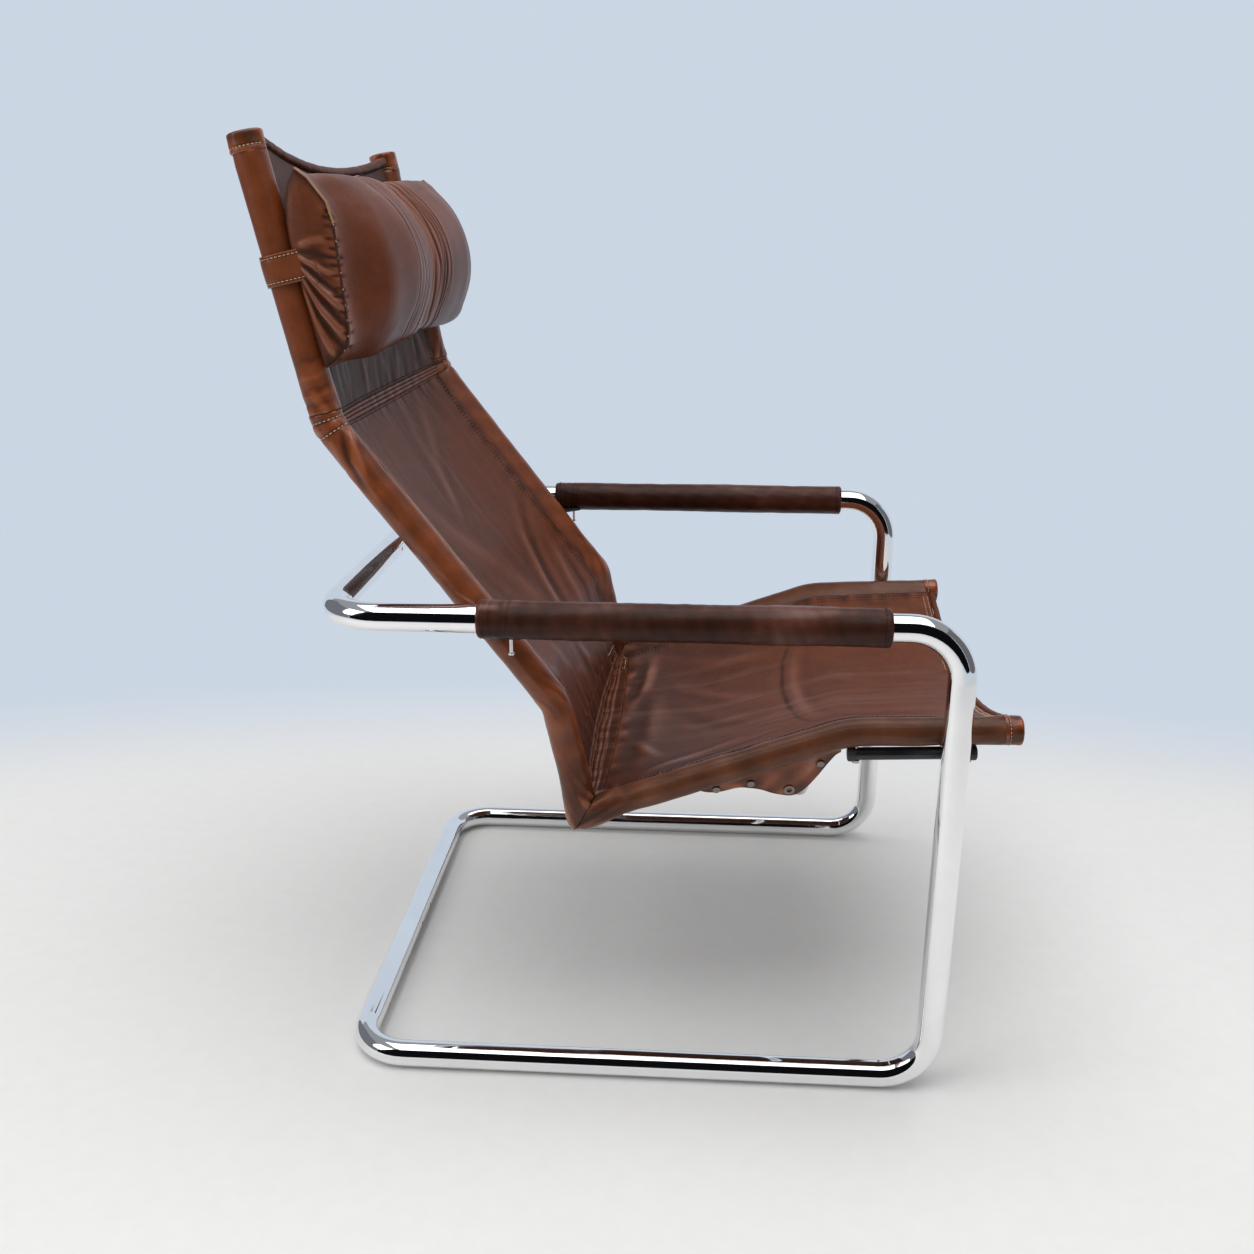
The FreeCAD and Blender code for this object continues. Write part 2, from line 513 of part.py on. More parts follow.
def make_sling():
    lumbar_normal = unit(normal_of(UP) + normal_of(LOWER_BACK))
    bend_normal = unit(normal_of(LOWER_BACK) + normal_of(LOW_BACK))
    seat_normal = unit(normal_of(SEAT) + normal_of(FRONT))
    band = LUMBAR_BAND_WIDTH / 2

    # top hem and upper back, whose free edge is cut to a shallow curve
    top_hem = hem(on_back(TOP_HEM_DOWN, SLING_LINE, 0), on_back(TOP_HEM_DOWN + TOP_HEM_DROP, SLING_LINE - 10.0, 0),
                  BACK_SLING_HALF - HEM_END_GAP, TOP_HEM_D)
    write(top_hem, "top_hem")
    upper = panel([(on_back(0.0, 0, 0), FORWARD, 10.0), (on_back(200.0, 0, 0), FORWARD, 15.0),
                   (point(LUMBAR) + UP * (band + SEAM_GAP), lumbar_normal, 27.0)], BACK_SLING_HALF)
    edge_down = TOP_HEM_DOWN + TOP_HEM_D / 2 + SEAM_GAP
    edge = Part.Arc(on_back(edge_down, -60, -BACK_SLING_HALF - 9), on_back(edge_down + TOP_HEM_DROP, -60, 0),
                    on_back(edge_down, -60, BACK_SLING_HALF + 9)).toShape()
    above = Part.makePolygon([on_back(edge_down, -60, BACK_SLING_HALF + 9), on_back(-60, -60, BACK_SLING_HALF + 9),
                              on_back(-60, -60, -BACK_SLING_HALF - 9), on_back(edge_down, -60, -BACK_SLING_HALF - 9)])
    cutter = Part.Face(Part.Wire([edge] + above.Edges)).extrude(FORWARD * 120)
    write(upper.cut(cutter), "upper_back_panel")

    write(panel([(point(LUMBAR) + UP * band, lumbar_normal, 27.4),
                 (point(LUMBAR) + LOWER_BACK * band, lumbar_normal, 29.0)], BACK_SLING_HALF), "lumbar_seam_strip")
    middle = (point(LUMBAR) + point(LOWER_BEND)) * 0.5
    write(panel([(point(LUMBAR) + LOWER_BACK * (band + SEAM_GAP), lumbar_normal, 29.4),
                 (middle, normal_of(LOWER_BACK), 42.0), (point(LOWER_BEND), bend_normal, 36.0),
                 (point(APEX) - LOW_BACK * CREASE_ON_BACK, APEX_BISECTOR, 14.0)], BACK_SLING_HALF), "lower_back_panel")

    crease_back = point(APEX) - LOW_BACK * (CREASE_ON_BACK - SEAM_GAP)
    crease_seat = point(APEX) + SEAT * (CREASE_ON_SEAT - SEAM_GAP)
    write(panel([(crease_back, APEX_BISECTOR, 14.0), (crease_seat, APEX_BISECTOR, 14.0)], BACK_SLING_HALF),
          "crease_strip")
    write(panel([(point(APEX) + SEAT * CREASE_ON_SEAT, APEX_BISECTOR, 14.0),
                 (point(APEX) + SEAT * 130.0, normal_of(SEAT), 44.0), (point(SEAT_BEND), seat_normal, 52.0),
                 (point(RAIL_FRONT) - FRONT * 16.0, normal_of(FRONT), FRONT_HEM_SAG)], SEAT_SLING_HALF), "seat_panel")
    hem_centre = point(RAIL_FRONT) - FRONT * (16.0 - FRONT_HEM_D / 2 - SEAM_GAP) + normal_of(FRONT) * SLING_LINE
    write(hem(hem_centre, hem_centre - normal_of(FRONT) * FRONT_HEM_SAG, SEAT_SLING_HALF - HEM_END_GAP * 2, FRONT_HEM_D),
          "front_hem")


# Flaps that close under the seat rails, with their press studs
def tilted(shape):
    """Turn a piece of the flap about the seat rail's line, lower edge inboard."""
    turned = shape.copy()
    turned.rotate(Vec(APEX[0], -FLAP_TOP_Y, APEX[1] - SEAT_SLEEVE_R), SEAT, FLAP_TILT)
    return turned


def make_flaps():
    top = [(x, rail_z(x) - FLAP_TOP_RISE) for x in (FLAP_OUTLINE[-1][0], FLAP_OUTLINE[0][0])]
    corners = [point(xz, -FLAP_TOP_Y) for xz in FLAP_OUTLINE + top]
    flap = Part.Face(Part.makePolygon(corners + corners[:1])).extrude(Vec(0, FLAP_THICKNESS, 0))
    flap = tilted(flap)
    flap = flap.cut(pipe(seat_path(CAP_END), SEAT_SLEEVE_R + 0.1)).cut(pipe(cross_tube_path(), CROSS_TUBE_D / 2 + 0.3))
    flap = max(flap.Solids, key=lambda solid: solid.Volume)
    write_pair(flap, "under_flap")
    studs = []
    for place in STUD_PLACES:
        base = point(place, -FLAP_TOP_Y)
        stud = cylinder(STUD_D / 2, base - Vec(0, STUD_HEIGHT, 0), base)
        rim = [edge for edge in stud.Edges if edge.Closed and edge.CenterOfMass.y < base.y - 1]
        studs.append(tilted(stud.makeFillet(1.2, rim)))
    ring_base = point(EYELET_PLACE, -FLAP_TOP_Y)
    ring = cylinder(EYELET_D / 2, ring_base - Vec(0, 1.6, 0), ring_base)
    ring = ring.cut(cylinder(EYELET_HOLE_D / 2, ring_base - Vec(0, 3, 0), ring_base + Vec(0, 1, 0)))
    ring = tilted(ring)
    write(Part.makeCompound(studs + [mirrored(stud) for stud in studs]), "press_studs")
    write(Part.makeCompound([ring, mirrored(ring)]), "flap_eyelets")


# Headrest: a crowned cushion with a drawn-in middle, hung by straps round the back rails
def cushion_section(y, top_inset, bottom_inset, swell, inward):
    lift = LEFT_END_LIFT * (y / CUSHION_SECTIONS[0][0] + 1) / 2
    top = HEADREST_TOP + top_inset - lift + inward
    bottom = HEADREST_BOTTOM - bottom_inset - lift - inward
    height = bottom - top
    shoulder = height * 0.11
    flat = 12.0

    def at(down, depth):
        return on_back(down, HEADREST_BACK + inward + depth, y)
    crown = swell - 2 * inward
    rear = Part.LineSegment(at(top + flat, 0), at(bottom - flat, 0)).toShape()
    low = Part.Arc(at(bottom - flat, 0), at(bottom, crown * 0.26), at(bottom - shoulder, crown * 0.66)).toShape()
    face = Part.Arc(at(bottom - shoulder, crown * 0.66), at(top + height * 0.5, crown),
                    at(top + shoulder, crown * 0.66)).toShape()
    high = Part.Arc(at(top + shoulder, crown * 0.66), at(top, crown * 0.26), at(top + flat, 0)).toShape()
    return Part.Wire([rear, low, face, high])


def cushion_solid(inward):
    """The cushion's outer form, or the same form drawn inward all round."""
    halves = [(CUSHION_SECTIONS[0][0] - inward, *CUSHION_SECTIONS[0][1:])] + CUSHION_SECTIONS[1:]
    stations = [(-y, *rest) for y, *rest in halves] + halves[-2::-1]
    return Part.makeLoft([cushion_section(*station, inward) for station in stations], True, False)


def make_headrest():
    write(cushion_solid(0.0).cut(cushion_solid(COVER_WALL)), "headrest_cover")
    write(cushion_solid(COVER_WALL + FILLING_GAP), "headrest_filling")

    reach = BACK_SLEEVE_R + STRAP_FIT + STRAP_THICKNESS / 2
    outer_y = -RAIL_Y - reach
    middle = STRAP_TOP + STRAP_WIDTH / 2
    start = on_back(middle, HEADREST_BACK + STRAP_SEW_LENGTH, outer_y)
    path = rounded_path([start, on_back(middle, -reach, outer_y), on_back(middle, -reach, -STRAP_REAR_Y)], [reach])
    half_t = STRAP_THICKNESS / 2
    profile = [start + Vec(0, half_t * a, 0) + UP * (STRAP_WIDTH / 2 * b) for a, b in ((-1, -1), (1, -1), (1, 1), (-1, 1))]
    strap = path.makePipeShell([Part.makePolygon(profile + profile[:1])], True, False)
    write_pair(strap, "headrest_strap")
    depth = -reach - STRAP_THICKNESS / 2
    half = STRAP_REAR_Y + BAND_LAP
    corners = [on_back(STRAP_TOP + 1, depth, -half), on_back(STRAP_TOP + 1, depth, half),
               on_back(STRAP_TOP + STRAP_WIDTH - 1, depth, half), on_back(STRAP_TOP + STRAP_WIDTH - 1, depth, -half)]
    band = Part.Face(Part.makePolygon(corners + corners[:1])).extrude(FORWARD * -BAND_THICKNESS)
    write(band, "headrest_back_band")


def main():
    os.makedirs(OUT, exist_ok=True)
    make_frame()
    make_joints()
    make_arms()
    make_rails()
    make_carriers()
    make_brackets()
    make_sleeves()
    make_sling()
    make_flaps()
    make_headrest()


main()
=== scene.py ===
"""Looks of the cantilever lounge chair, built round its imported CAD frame."""

import math

import bpy
import numpy as np
from mathutils import Matrix, Vector
from mathutils.bvhtree import BVHTree


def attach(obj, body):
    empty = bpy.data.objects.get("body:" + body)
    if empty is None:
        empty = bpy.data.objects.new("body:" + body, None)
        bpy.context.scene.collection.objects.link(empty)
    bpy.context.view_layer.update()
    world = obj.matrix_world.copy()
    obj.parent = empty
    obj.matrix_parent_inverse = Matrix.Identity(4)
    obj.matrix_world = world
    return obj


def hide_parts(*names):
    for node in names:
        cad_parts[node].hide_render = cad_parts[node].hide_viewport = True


bl_info = {
    "name": "Cantilever lounge chair",
    "version": (1, 0, 0),
    "blender": (4, 5, 0),
    "location": "3D View > Sidebar > Lounge chair",
    "description": "Leather, chrome and stitching for a cantilever lounge chair",
    "category": "Object",
}

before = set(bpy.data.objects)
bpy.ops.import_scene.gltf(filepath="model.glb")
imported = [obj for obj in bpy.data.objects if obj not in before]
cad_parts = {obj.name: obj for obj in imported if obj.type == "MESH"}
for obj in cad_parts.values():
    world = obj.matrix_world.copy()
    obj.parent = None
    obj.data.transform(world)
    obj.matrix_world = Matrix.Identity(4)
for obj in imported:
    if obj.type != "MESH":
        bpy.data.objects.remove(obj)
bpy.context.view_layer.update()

# The sides as the sitter has them, by the sign of Y
RIGHT = -1
LEFT = 1
SIDE_NAMES = {RIGHT: "right", LEFT: "left"}

# Rail lines in the chair's side plane, mm, as in the part's source
RAIL_Y = 267.5
RAIL_TOP = (-389.1, 1022.9)
LUMBAR = (-326.2, 741.6)
LOWER_BEND = (-96.4, 444.2)
APEX = (-67.5, 313.6)
SEAT_BEND = (219.7, 418.5)
RAIL_FRONT = (403.3, 426.2)
LUMBAR_R = 60.0
LOWER_BEND_R = 60.0
SEAT_BEND_R = 110.0
BACK_SLEEVE_R = 17.0
SEAT_SLEEVE_R = 15.5
SLEEVE_BORE_R = 12.7
SLEEVE_JOINT = 274.0
LUMBAR_RINGS = (282.0, 296.0)
BACK_SLEEVE_END = 797.0
CAP_LENGTH = 19.0
LEFT_TOP_CAP_EXTRA = 6.0
SLING_THICKNESS = 2.6
SLING_HALF = 238.0
TOP_HEM_BOW = 20.0
MESH_STEP = 2.6
ARM_Z = 550.0
ARM_Y = 308.0
ARM_PAD_ENDS = (-171.0, 252.0)
ARM_PAD_R = 20.3
LEFT_PAD_SHIFT = 8.0
TUBE_R = 15.0

# The bowed tube under the seat and the flaps that hang outside it
CROSS_TUBE_X = 175.0
CROSS_TUBE_HALF = 216.0
CROSS_TUBE_Z = 322.0
CROSS_TUBE_LEAN = 0.644
FLAP_Y = 263.0
FLAP_TILT = math.radians(14.0)
FLAP_THICKNESS = 2.4

# Headrest, measured down the back from the rail's top and forward of its centre line
HEADREST_TOP = 46.0
HEADREST_BOTTOM = 236.0
HEADREST_BACK = 18.2
STRAP_TOP = 115.5
STRAP_WIDTH = 30.0
STRAP_THICKNESS = 2.4
STRAP_CLEARANCE = 0.4
LEFT_END_LIFT = 6.0
END_SEAM = 284.0
# Distance across the chair, how far the top and the bottom draw in there, and how thick the cushion is
CUSHION_SECTIONS = [
    (284.4, 8.0, 6.0, 40.0),
    (272.0, 2.0, 2.0, 55.0),
    (225.0, 0.0, 1.0, 78.0),
    (140.0, 1.0, 2.0, 90.0),
    (45.0, 3.0, 5.0, 84.0),
    (0.0, 7.0, 8.0, 71.0),
]
# Outline of a cushion end from its top corner: distance down the back and forward of the cushion's rear
END_REAR = [(43.5, 25.0), (55, 14), (72, 7), (90, 3), (108, 1), (140, 0), (200, 0), (222, 0.5), (231, 2)]
END_FRONT = [(231, 2), (226, 14), (216, 29), (200, 34.5), (160, 40.5), (119, 46), (99, 48.3), (80, 46.8),
             (55, 35), (43.5, 25.0)]

# The photograph's viewing angle
CAMERA_PLACE = (0.06133, -1.52656, 0.94008)
CAMERA_TURN = (-3.665, 17.932, -0.150)
CAMERA_LENS = 35.86


# Numbers and lines
def vec(*values):
    return np.array(values, float)


def unit(v):
    v = np.asarray(v, float)
    return v / np.maximum(np.linalg.norm(v, axis=-1, keepdims=True), 1e-9)


def smooth(x, low, high):
    """0 below low, 1 above high, and an even S between them."""
    t = np.clip((x - low) / (high - low), 0.0, 1.0)
    return t * t * (3.0 - 2.0 * t)


def bell(x, width):
    return np.exp(-((x / width) ** 2))


def blur(values, reach):
    """Values along a 1 mm line, evened out over that reach."""
    pad = int(reach * 3)
    kernel = bell(np.arange(-pad, pad + 1), reach * math.sqrt(2.0))
    kernel /= kernel.sum()
    wide = np.pad(values, pad, mode="edge")
    return np.convolve(wide, kernel, "valid")


class Waves:
    """Smooth repeatable noise made of a few sine waves."""

    def __init__(self, seed, count=14, shortest=0.4, longest=2.4):
        draw = np.random.default_rng(seed)
        angle = draw.uniform(0, 2 * math.pi, count)
        length = draw.uniform(shortest, longest, count)
        self.kx = 2 * math.pi * np.cos(angle) / length
        self.ky = 2 * math.pi * np.sin(angle) / length
        self.phase = draw.uniform(0, 2 * math.pi, count)

    def __call__(self, x, y=0.0):
        x = np.asarray(x, float)
        total = np.zeros(np.broadcast(x, y).shape)
        for kx, ky, phase in zip(self.kx, self.ky, self.phase):
            total += np.sin(kx * x + ky * y + phase)
        return total / math.sqrt(len(self.kx) / 2.0)


class Line:
    """A line with rounded corners in the chair's side plane, read by distance along it."""

    def __init__(self, corners, radii, blend=0.0):
        corners = [vec(*corner) for corner in corners]
        points = [corners[0]]
        for before, corner, after, radius in zip(corners, corners[1:-1], corners[2:], radii):
            if radius == 0.0:
                points.append(corner)
                continue
            a, b = unit(corner - before), unit(after - corner)
            turn = math.acos(float(np.clip(a @ b, -1, 1)))
            reach = radius * math.tan(turn / 2)
            centre = corner - a * reach + radius * unit(b - a * (a @ b))
            sign = np.sign(a[0] * b[1] - a[1] * b[0])
            arm = corner - a * reach - centre
            for q in np.linspace(0, turn * sign, 13):
                points.append(centre + vec(arm[0] * math.cos(q) - arm[1] * math.sin(q),
                                           arm[0] * math.sin(q) + arm[1] * math.cos(q)))
        points.append(corners[-1])
        points = np.array(points)
        run = np.r_[0, np.cumsum(np.linalg.norm(np.diff(points, axis=0), axis=1))]
        self.length = run[-1]
        self.s = np.linspace(0, self.length, int(self.length) + 1)
        self.p = np.c_[np.interp(self.s, run, points[:, 0]), np.interp(self.s, run, points[:, 1])]
        tangent = unit(np.gradient(self.p, axis=0))
        if blend:
            tangent = unit(np.c_[blur(tangent[:, 0], blend), blur(tangent[:, 1], blend)])
        self.t = tangent

    def near(self, corner):
        return float(self.s[np.argmin(np.linalg.norm(self.p - vec(*corner), axis=1))])

    def read(self, table, s):
        return np.stack([np.interp(s, self.s, table[:, i]) for i in (0, 1)], axis=-1)

    def at(self, s):
        """Points on the line, carried straight on beyond its ends."""
        over = (np.maximum(s - self.length, 0) + np.minimum(s, 0))[..., None]
        return self.read(self.p, s) + self.read(self.t, s) * over

    def tangent(self, s):
        return unit(self.read(self.t, s))

    def normal(self, s):
        """Square to the line, toward the sitter."""
        t = self.tangent(s)
        return np.stack([-t[..., 1], t[..., 0]], axis=-1)


def lift(xz, y):
    """Side-plane points as 3D points at those distances across the chair."""
    y = np.broadcast_to(y, xz.shape[:-1])
    return np.stack([xz[..., 0], y, xz[..., 1]], axis=-1)


SLING_LINE = Line([RAIL_TOP, LUMBAR, LOWER_BEND, APEX, SEAT_BEND, RAIL_FRONT],
                  [LUMBAR_R, LOWER_BEND_R, 0.0, SEAT_BEND_R], blend=18.0)
BACK_LINE = Line([RAIL_TOP, LUMBAR, LOWER_BEND, APEX], [LUMBAR_R, LOWER_BEND_R])
SEAT_LINE = Line([APEX, SEAT_BEND, RAIL_FRONT], [SEAT_BEND_R])
AT_LUMBAR = SLING_LINE.near(LUMBAR)
AT_BEND = SLING_LINE.near(LOWER_BEND)
AT_APEX = SLING_LINE.near(APEX)
AT_SEAT_BEND = SLING_LINE.near(SEAT_BEND)
AT_FRONT = SLING_LINE.length
UP = unit(vec(RAIL_TOP[0] - LUMBAR[0], 0, RAIL_TOP[1] - LUMBAR[1]))
FORWARD = vec(UP[2], 0, -UP[0])


def on_back(down, forward, y):
    """A point beside the upper back rails: distance down from their top, forward of them, and across."""
    down, forward, y = np.broadcast_arrays(np.asarray(down, float), forward, y)
    origin = vec(RAIL_TOP[0], 0, RAIL_TOP[1])
    return origin - UP * down[..., None] + FORWARD * forward[..., None] + vec(0, 1, 0) * y[..., None]


# Shader building
class Wire:
    """A socket of a material's node tree. Arithmetic on it adds Math nodes."""

    def __init__(self, finish, socket):
        self.finish = finish
        self.socket = socket

    def math(self, operation, other=None, flipped=False):
        pair = (other, self) if flipped else (self, other)
        values = {i: value for i, value in enumerate(pair) if value is not None}
        return self.finish.node("ShaderNodeMath", {"operation": operation}, values)

    def __add__(self, other):
        return self.math("ADD", other)

    def __radd__(self, other):
        return self.math("ADD", other, True)

    def __sub__(self, other):
        return self.math("SUBTRACT", other)

    def __rsub__(self, other):
        return self.math("SUBTRACT", other, True)

    def __mul__(self, other):
        return self.math("MULTIPLY", other)

    def __rmul__(self, other):
        return self.math("MULTIPLY", other, True)

    def band(self, low, high):
        """0 below low, 1 above high, smooth between."""
        inputs = {"Value": self, "From Min": low, "From Max": high}
        return self.finish.node("ShaderNodeMapRange", {"interpolation_type": "SMOOTHSTEP"}, inputs)

    def clamp(self):
        return self.finish.node("ShaderNodeClamp", {}, {"Value": self})


class Finish:
    """A material being built round one Principled shader."""

    def __init__(self, name):
        self.material = bpy.data.materials.new(name)
        self.material.use_nodes = True
        self.tree = self.material.node_tree
        self.shader = self.tree.nodes["Principled BSDF"]
        self.output = self.tree.nodes["Material Output"]

    def node(self, kind, settings=None, inputs=None, out=0):
        made = self.tree.nodes.new(kind)
        for key, value in (settings or {}).items():
            setattr(made, key, value)
        for key, value in (inputs or {}).items():
            self.put(made.inputs[key], value)
        return Wire(self, made.outputs[out])

    def put(self, socket, value):
        if isinstance(value, Wire):
            self.tree.links.new(value.socket, socket)
        else:
            socket.default_value = value

    def set(self, **values):
        for key, value in values.items():
            self.put(self.shader.inputs[key.replace("_", " ")], value)

    def mix(self, factor, a, b, blend="MIX"):
        """A mix of two colours; each may be a wire or three numbers."""
        pad = [value if isinstance(value, Wire) else (*value, 1.0) for value in (a, b)]
        settings = {"data_type": "RGBA", "blend_type": blend}
        return self.node("ShaderNodeMix", settings, {0: factor, 6: pad[0], 7: pad[1]}, 2)

    def place(self, stretch=(1, 1, 1), turn=(0, 0, 0)):
        """Object coordinates in metres, turned and stretched."""
        start = self.node("ShaderNodeTexCoord", out=3)
        return self.node("ShaderNodeMapping", {}, {"Vector": start, "Scale": stretch, "Rotation": turn})

    def noise(self, scale, detail=3.0, rough=0.5, where=None, warp=0.0):
        inputs = {"Scale": scale, "Detail": detail, "Roughness": rough, "Distortion": warp,
                  "Vector": where or self.place()}
        return self.node("ShaderNodeTexNoise", {}, inputs)

    def cells(self, scale):
        return self.node("ShaderNodeTexVoronoi", {"feature": "F1"}, {"Scale": scale, "Vector": self.place()})

    def mark(self, name):
        """A number kept on the mesh's points."""
        return self.node("ShaderNodeAttribute", {"attribute_name": name}, out=2)

    def bump(self, height, distance, strength=1.0):
        inputs = {"Height": height, "Distance": distance, "Strength": strength}
        self.set(Normal=self.node("ShaderNodeBump", {}, inputs))


# Sizes and colours that a user would change
def colour_prop(name, what, rgb):
    return bpy.props.FloatVectorProperty(name=name, description=what, subtype="COLOR", size=3,
                                         min=0.0, max=1.0, default=rgb)


def number_prop(name, what, default, low=0.0, **more):
    return bpy.props.FloatProperty(name=name, description=what, default=default, min=low, **more)


class LoungeChairLeather(bpy.types.PropertyGroup):
    sleeve_colour: colour_prop("Rail leather", "Colour of the leather on the back rails",
                               (0.160, 0.038, 0.0095))
    seat_sleeve_colour: colour_prop("Seat rail leather", "Colour of the leather on the seat rails",
                                    (0.098, 0.031, 0.012))
    sling_colour: colour_prop("Sling leather", "Colour of the seat and back panels", (0.108, 0.028, 0.0095))
    upper_colour: colour_prop("Upper back leather", "Colour of the panel behind the headrest",
                              (0.080, 0.030, 0.017))
    arm_colour: colour_prop("Arm leather", "Colour of the arm covers", (0.052, 0.015, 0.008))
    headrest_colour: colour_prop("Headrest leather", "Colour of the headrest cushion", (0.115, 0.029, 0.010))
    piping_colour: colour_prop("Piping", "Colour of the pale piping", (0.36, 0.19, 0.10))
    thread_colour: colour_prop("Thread", "Colour of the light stitching", (0.60, 0.43, 0.28))
    dark_thread_colour: colour_prop("Dark thread", "Colour of the dark stitching", (0.055, 0.02, 0.012))
    grain: number_prop("Grain", "Size of one cell of the leather's grain", 0.0011, 0.0003, max=0.005,
                       unit="LENGTH")
    fold_depth: number_prop("Fold depth", "How deep the folds and puckers are", 1.0, max=2.0,
                            subtype="FACTOR")


class LoungeChairHeadrest(bpy.types.PropertyGroup):
    pressure: number_prop("Stuffing", "Pressure of the filling in the cloth pass", 4.0, max=12.0)
    swell_limit: number_prop("Swell limit", "How far the filling may push the cover", 0.010, max=0.03,
                             unit="LENGTH")
    voxel: number_prop("Cloth mesh size", "Mesh size of the cloth pass", 0.006, 0.003, max=0.02,
                       unit="LENGTH")


class LoungeChairStage(bpy.types.PropertyGroup):
    floor_colour: colour_prop("Floor", "Colour of the floor near the chair", (0.83, 0.83, 0.825))
    backdrop_colour: colour_prop("Backdrop", "Colour behind the chair", (0.60, 0.672, 0.772))
    overhead_power: number_prop("Overhead light", "Power of the large soft light", 66.0, unit="POWER")
    side_power: number_prop("Side light", "Power of the soft side light", 20.0, unit="POWER")
    world_strength: number_prop("World light", "Strength of the even light all round", 0.47, max=2.0)


# Mesh building
def mesh_piece(name, points, faces, finish, body="chair", slot=None, replaces=(), marks=None):
    """A smooth mesh from points in mm that rides on a body. Returns the object."""
    mesh = bpy.data.meshes.new(name)
    points = np.asarray(points, float).reshape(-1, 3) * 0.001
    mesh.from_pydata(points.tolist(), [], [list(face) for face in faces])
    mesh.validate()
    for key, values in (marks or {}).items():
        layer = mesh.attributes.new(key, "FLOAT", "POINT")
        layer.data.foreach_set("value", np.asarray(values, np.float32).ravel())
    mesh.polygons.foreach_set("use_smooth", np.ones(len(mesh.polygons), bool))
    mesh.materials.append(finish)
    mesh.update()
    piece = bpy.data.objects.new(name, mesh)
    bpy.context.scene.collection.objects.link(piece)
    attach(piece, body)
    if replaces:
        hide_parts(*replaces)
    return piece


def grid_quads(rows, columns, around=False, start=0, flip=False):
    """Quads of a grid of points numbered row by row. With around, the last column meets the first."""
    index = start + np.arange(rows * columns).reshape(rows, columns)
    right = np.roll(index, -1, axis=1)
    if not around:
        index, right = index[:, :-1], right[:, :-1]
    quads = np.stack([index[:-1], right[:-1], right[1:], index[1:]], axis=-1).reshape(-1, 4)
    return (quads[:, ::-1] if flip else quads).tolist()


def capped_faces(rows, columns, start=0):
    """Faces of a tube of rings with a flat face over each end."""
    last = start + (rows - 1) * columns
    caps = [list(range(start, start + columns)), list(range(last, last + columns))[::-1]]
    return grid_quads(rows, columns, around=True, start=start) + caps


def looped_faces(rows, columns):
    """Faces of rings whose last meets the first, as where a tube's outside turns into its bore."""
    first = np.arange(columns)
    last = (rows - 1) * columns + first
    join = np.stack([last, np.roll(last, -1), np.roll(first, -1), first], axis=-1).tolist()
    return grid_quads(rows, columns, around=True) + join


def circles(side, other, count):
    """Unit circles of that many points in the planes of two sets of directions."""
    angle = np.linspace(0, 2 * math.pi, count, endpoint=False)[:, None]
    return np.cos(angle) * side[..., None, :] + np.sin(angle) * other[..., None, :]


def plain_marks(count):
    """Marks of a piece that has no ridges and no worn edge."""
    return {"ridge": np.full(count, 0.5), "edge": np.zeros(count)}


def sheet_solid(grid, thickness):
    """Both faces and the four edges of a sheet. Its first face lies half a thickness along the normals."""
    rows, columns = grid.shape[:2]
    normal = unit(np.cross(np.gradient(grid, axis=0), np.gradient(grid, axis=1)))
    count = rows * columns
    points = np.concatenate([(grid + normal * thickness / 2).reshape(-1, 3),
                             (grid - normal * thickness / 2).reshape(-1, 3)])
    faces = grid_quads(rows, columns) + grid_quads(rows, columns, start=count, flip=True)
    index = np.arange(count).reshape(rows, columns)
    rim = np.concatenate([index[0, :-1], index[:-1, -1], index[-1, :0:-1], index[:0:-1, 0]])
    after = np.roll(rim, -1)
    faces += np.stack([after, rim, rim + count, after + count], axis=-1).tolist()
    return points, faces


# Folds: each is a bent line on a surface with a width and a height
def fold_height(u, v, folds):
    """Sum of the folds at surface coordinates u and v, mm. A fold is (points, width, height)."""
    total = np.zeros(np.broadcast(u, v).shape)
    for points, width, height in folds:
        points = [vec(*point) for point in points]
        near = (u > min(p[0] for p in points) - 3 * width) & (u < max(p[0] for p in points) + 3 * width)
        near &= (v > min(p[1] for p in points) - 3 * width) & (v < max(p[1] for p in points) + 3 * width)
        if not near.any():
            continue
        uu, vv = u[near], v[near]
        lengths = [np.linalg.norm(b - a) for a, b in zip(points, points[1:])]
        whole = sum(lengths)
        best = np.full(uu.shape, 1e9)
        share = np.zeros(uu.shape)
        done = 0.0
        for a, b, length in zip(points, points[1:], lengths):
            along = np.clip(((uu - a[0]) * (b - a)[0] + (vv - a[1]) * (b - a)[1]) / length ** 2, 0, 1)
            gap = np.hypot(uu - a[0] - along * (b - a)[0], vv - a[1] - along * (b - a)[1])
            closer = gap < best
            best = np.where(closer, gap, best)
            share = np.where(closer, (done + along * length) / whole, share)
            done += length
        taper = np.sin(math.pi * np.clip(share, 0.02, 0.98)) ** 0.6
        total[near] += height * bell(best, width) * taper
    return total


# Sling surface
SAG_STATIONS = [
    (0.0, 10.0), (200.0, 15.0), (AT_LUMBAR - 6, 27.0), (AT_LUMBAR + 6, 29.0),
    ((AT_LUMBAR + AT_BEND) / 2, 42.0), (AT_BEND, 36.0), (AT_APEX - 30, 14.5), (AT_APEX + 20, 14.0),
    (AT_APEX + 130, 44.0), (AT_SEAT_BEND, 52.0), (AT_FRONT - 16, 47.0), (AT_FRONT, 46.0),
]
SAG = blur(np.interp(SLING_LINE.s, *zip(*SAG_STATIONS)), 12.0)

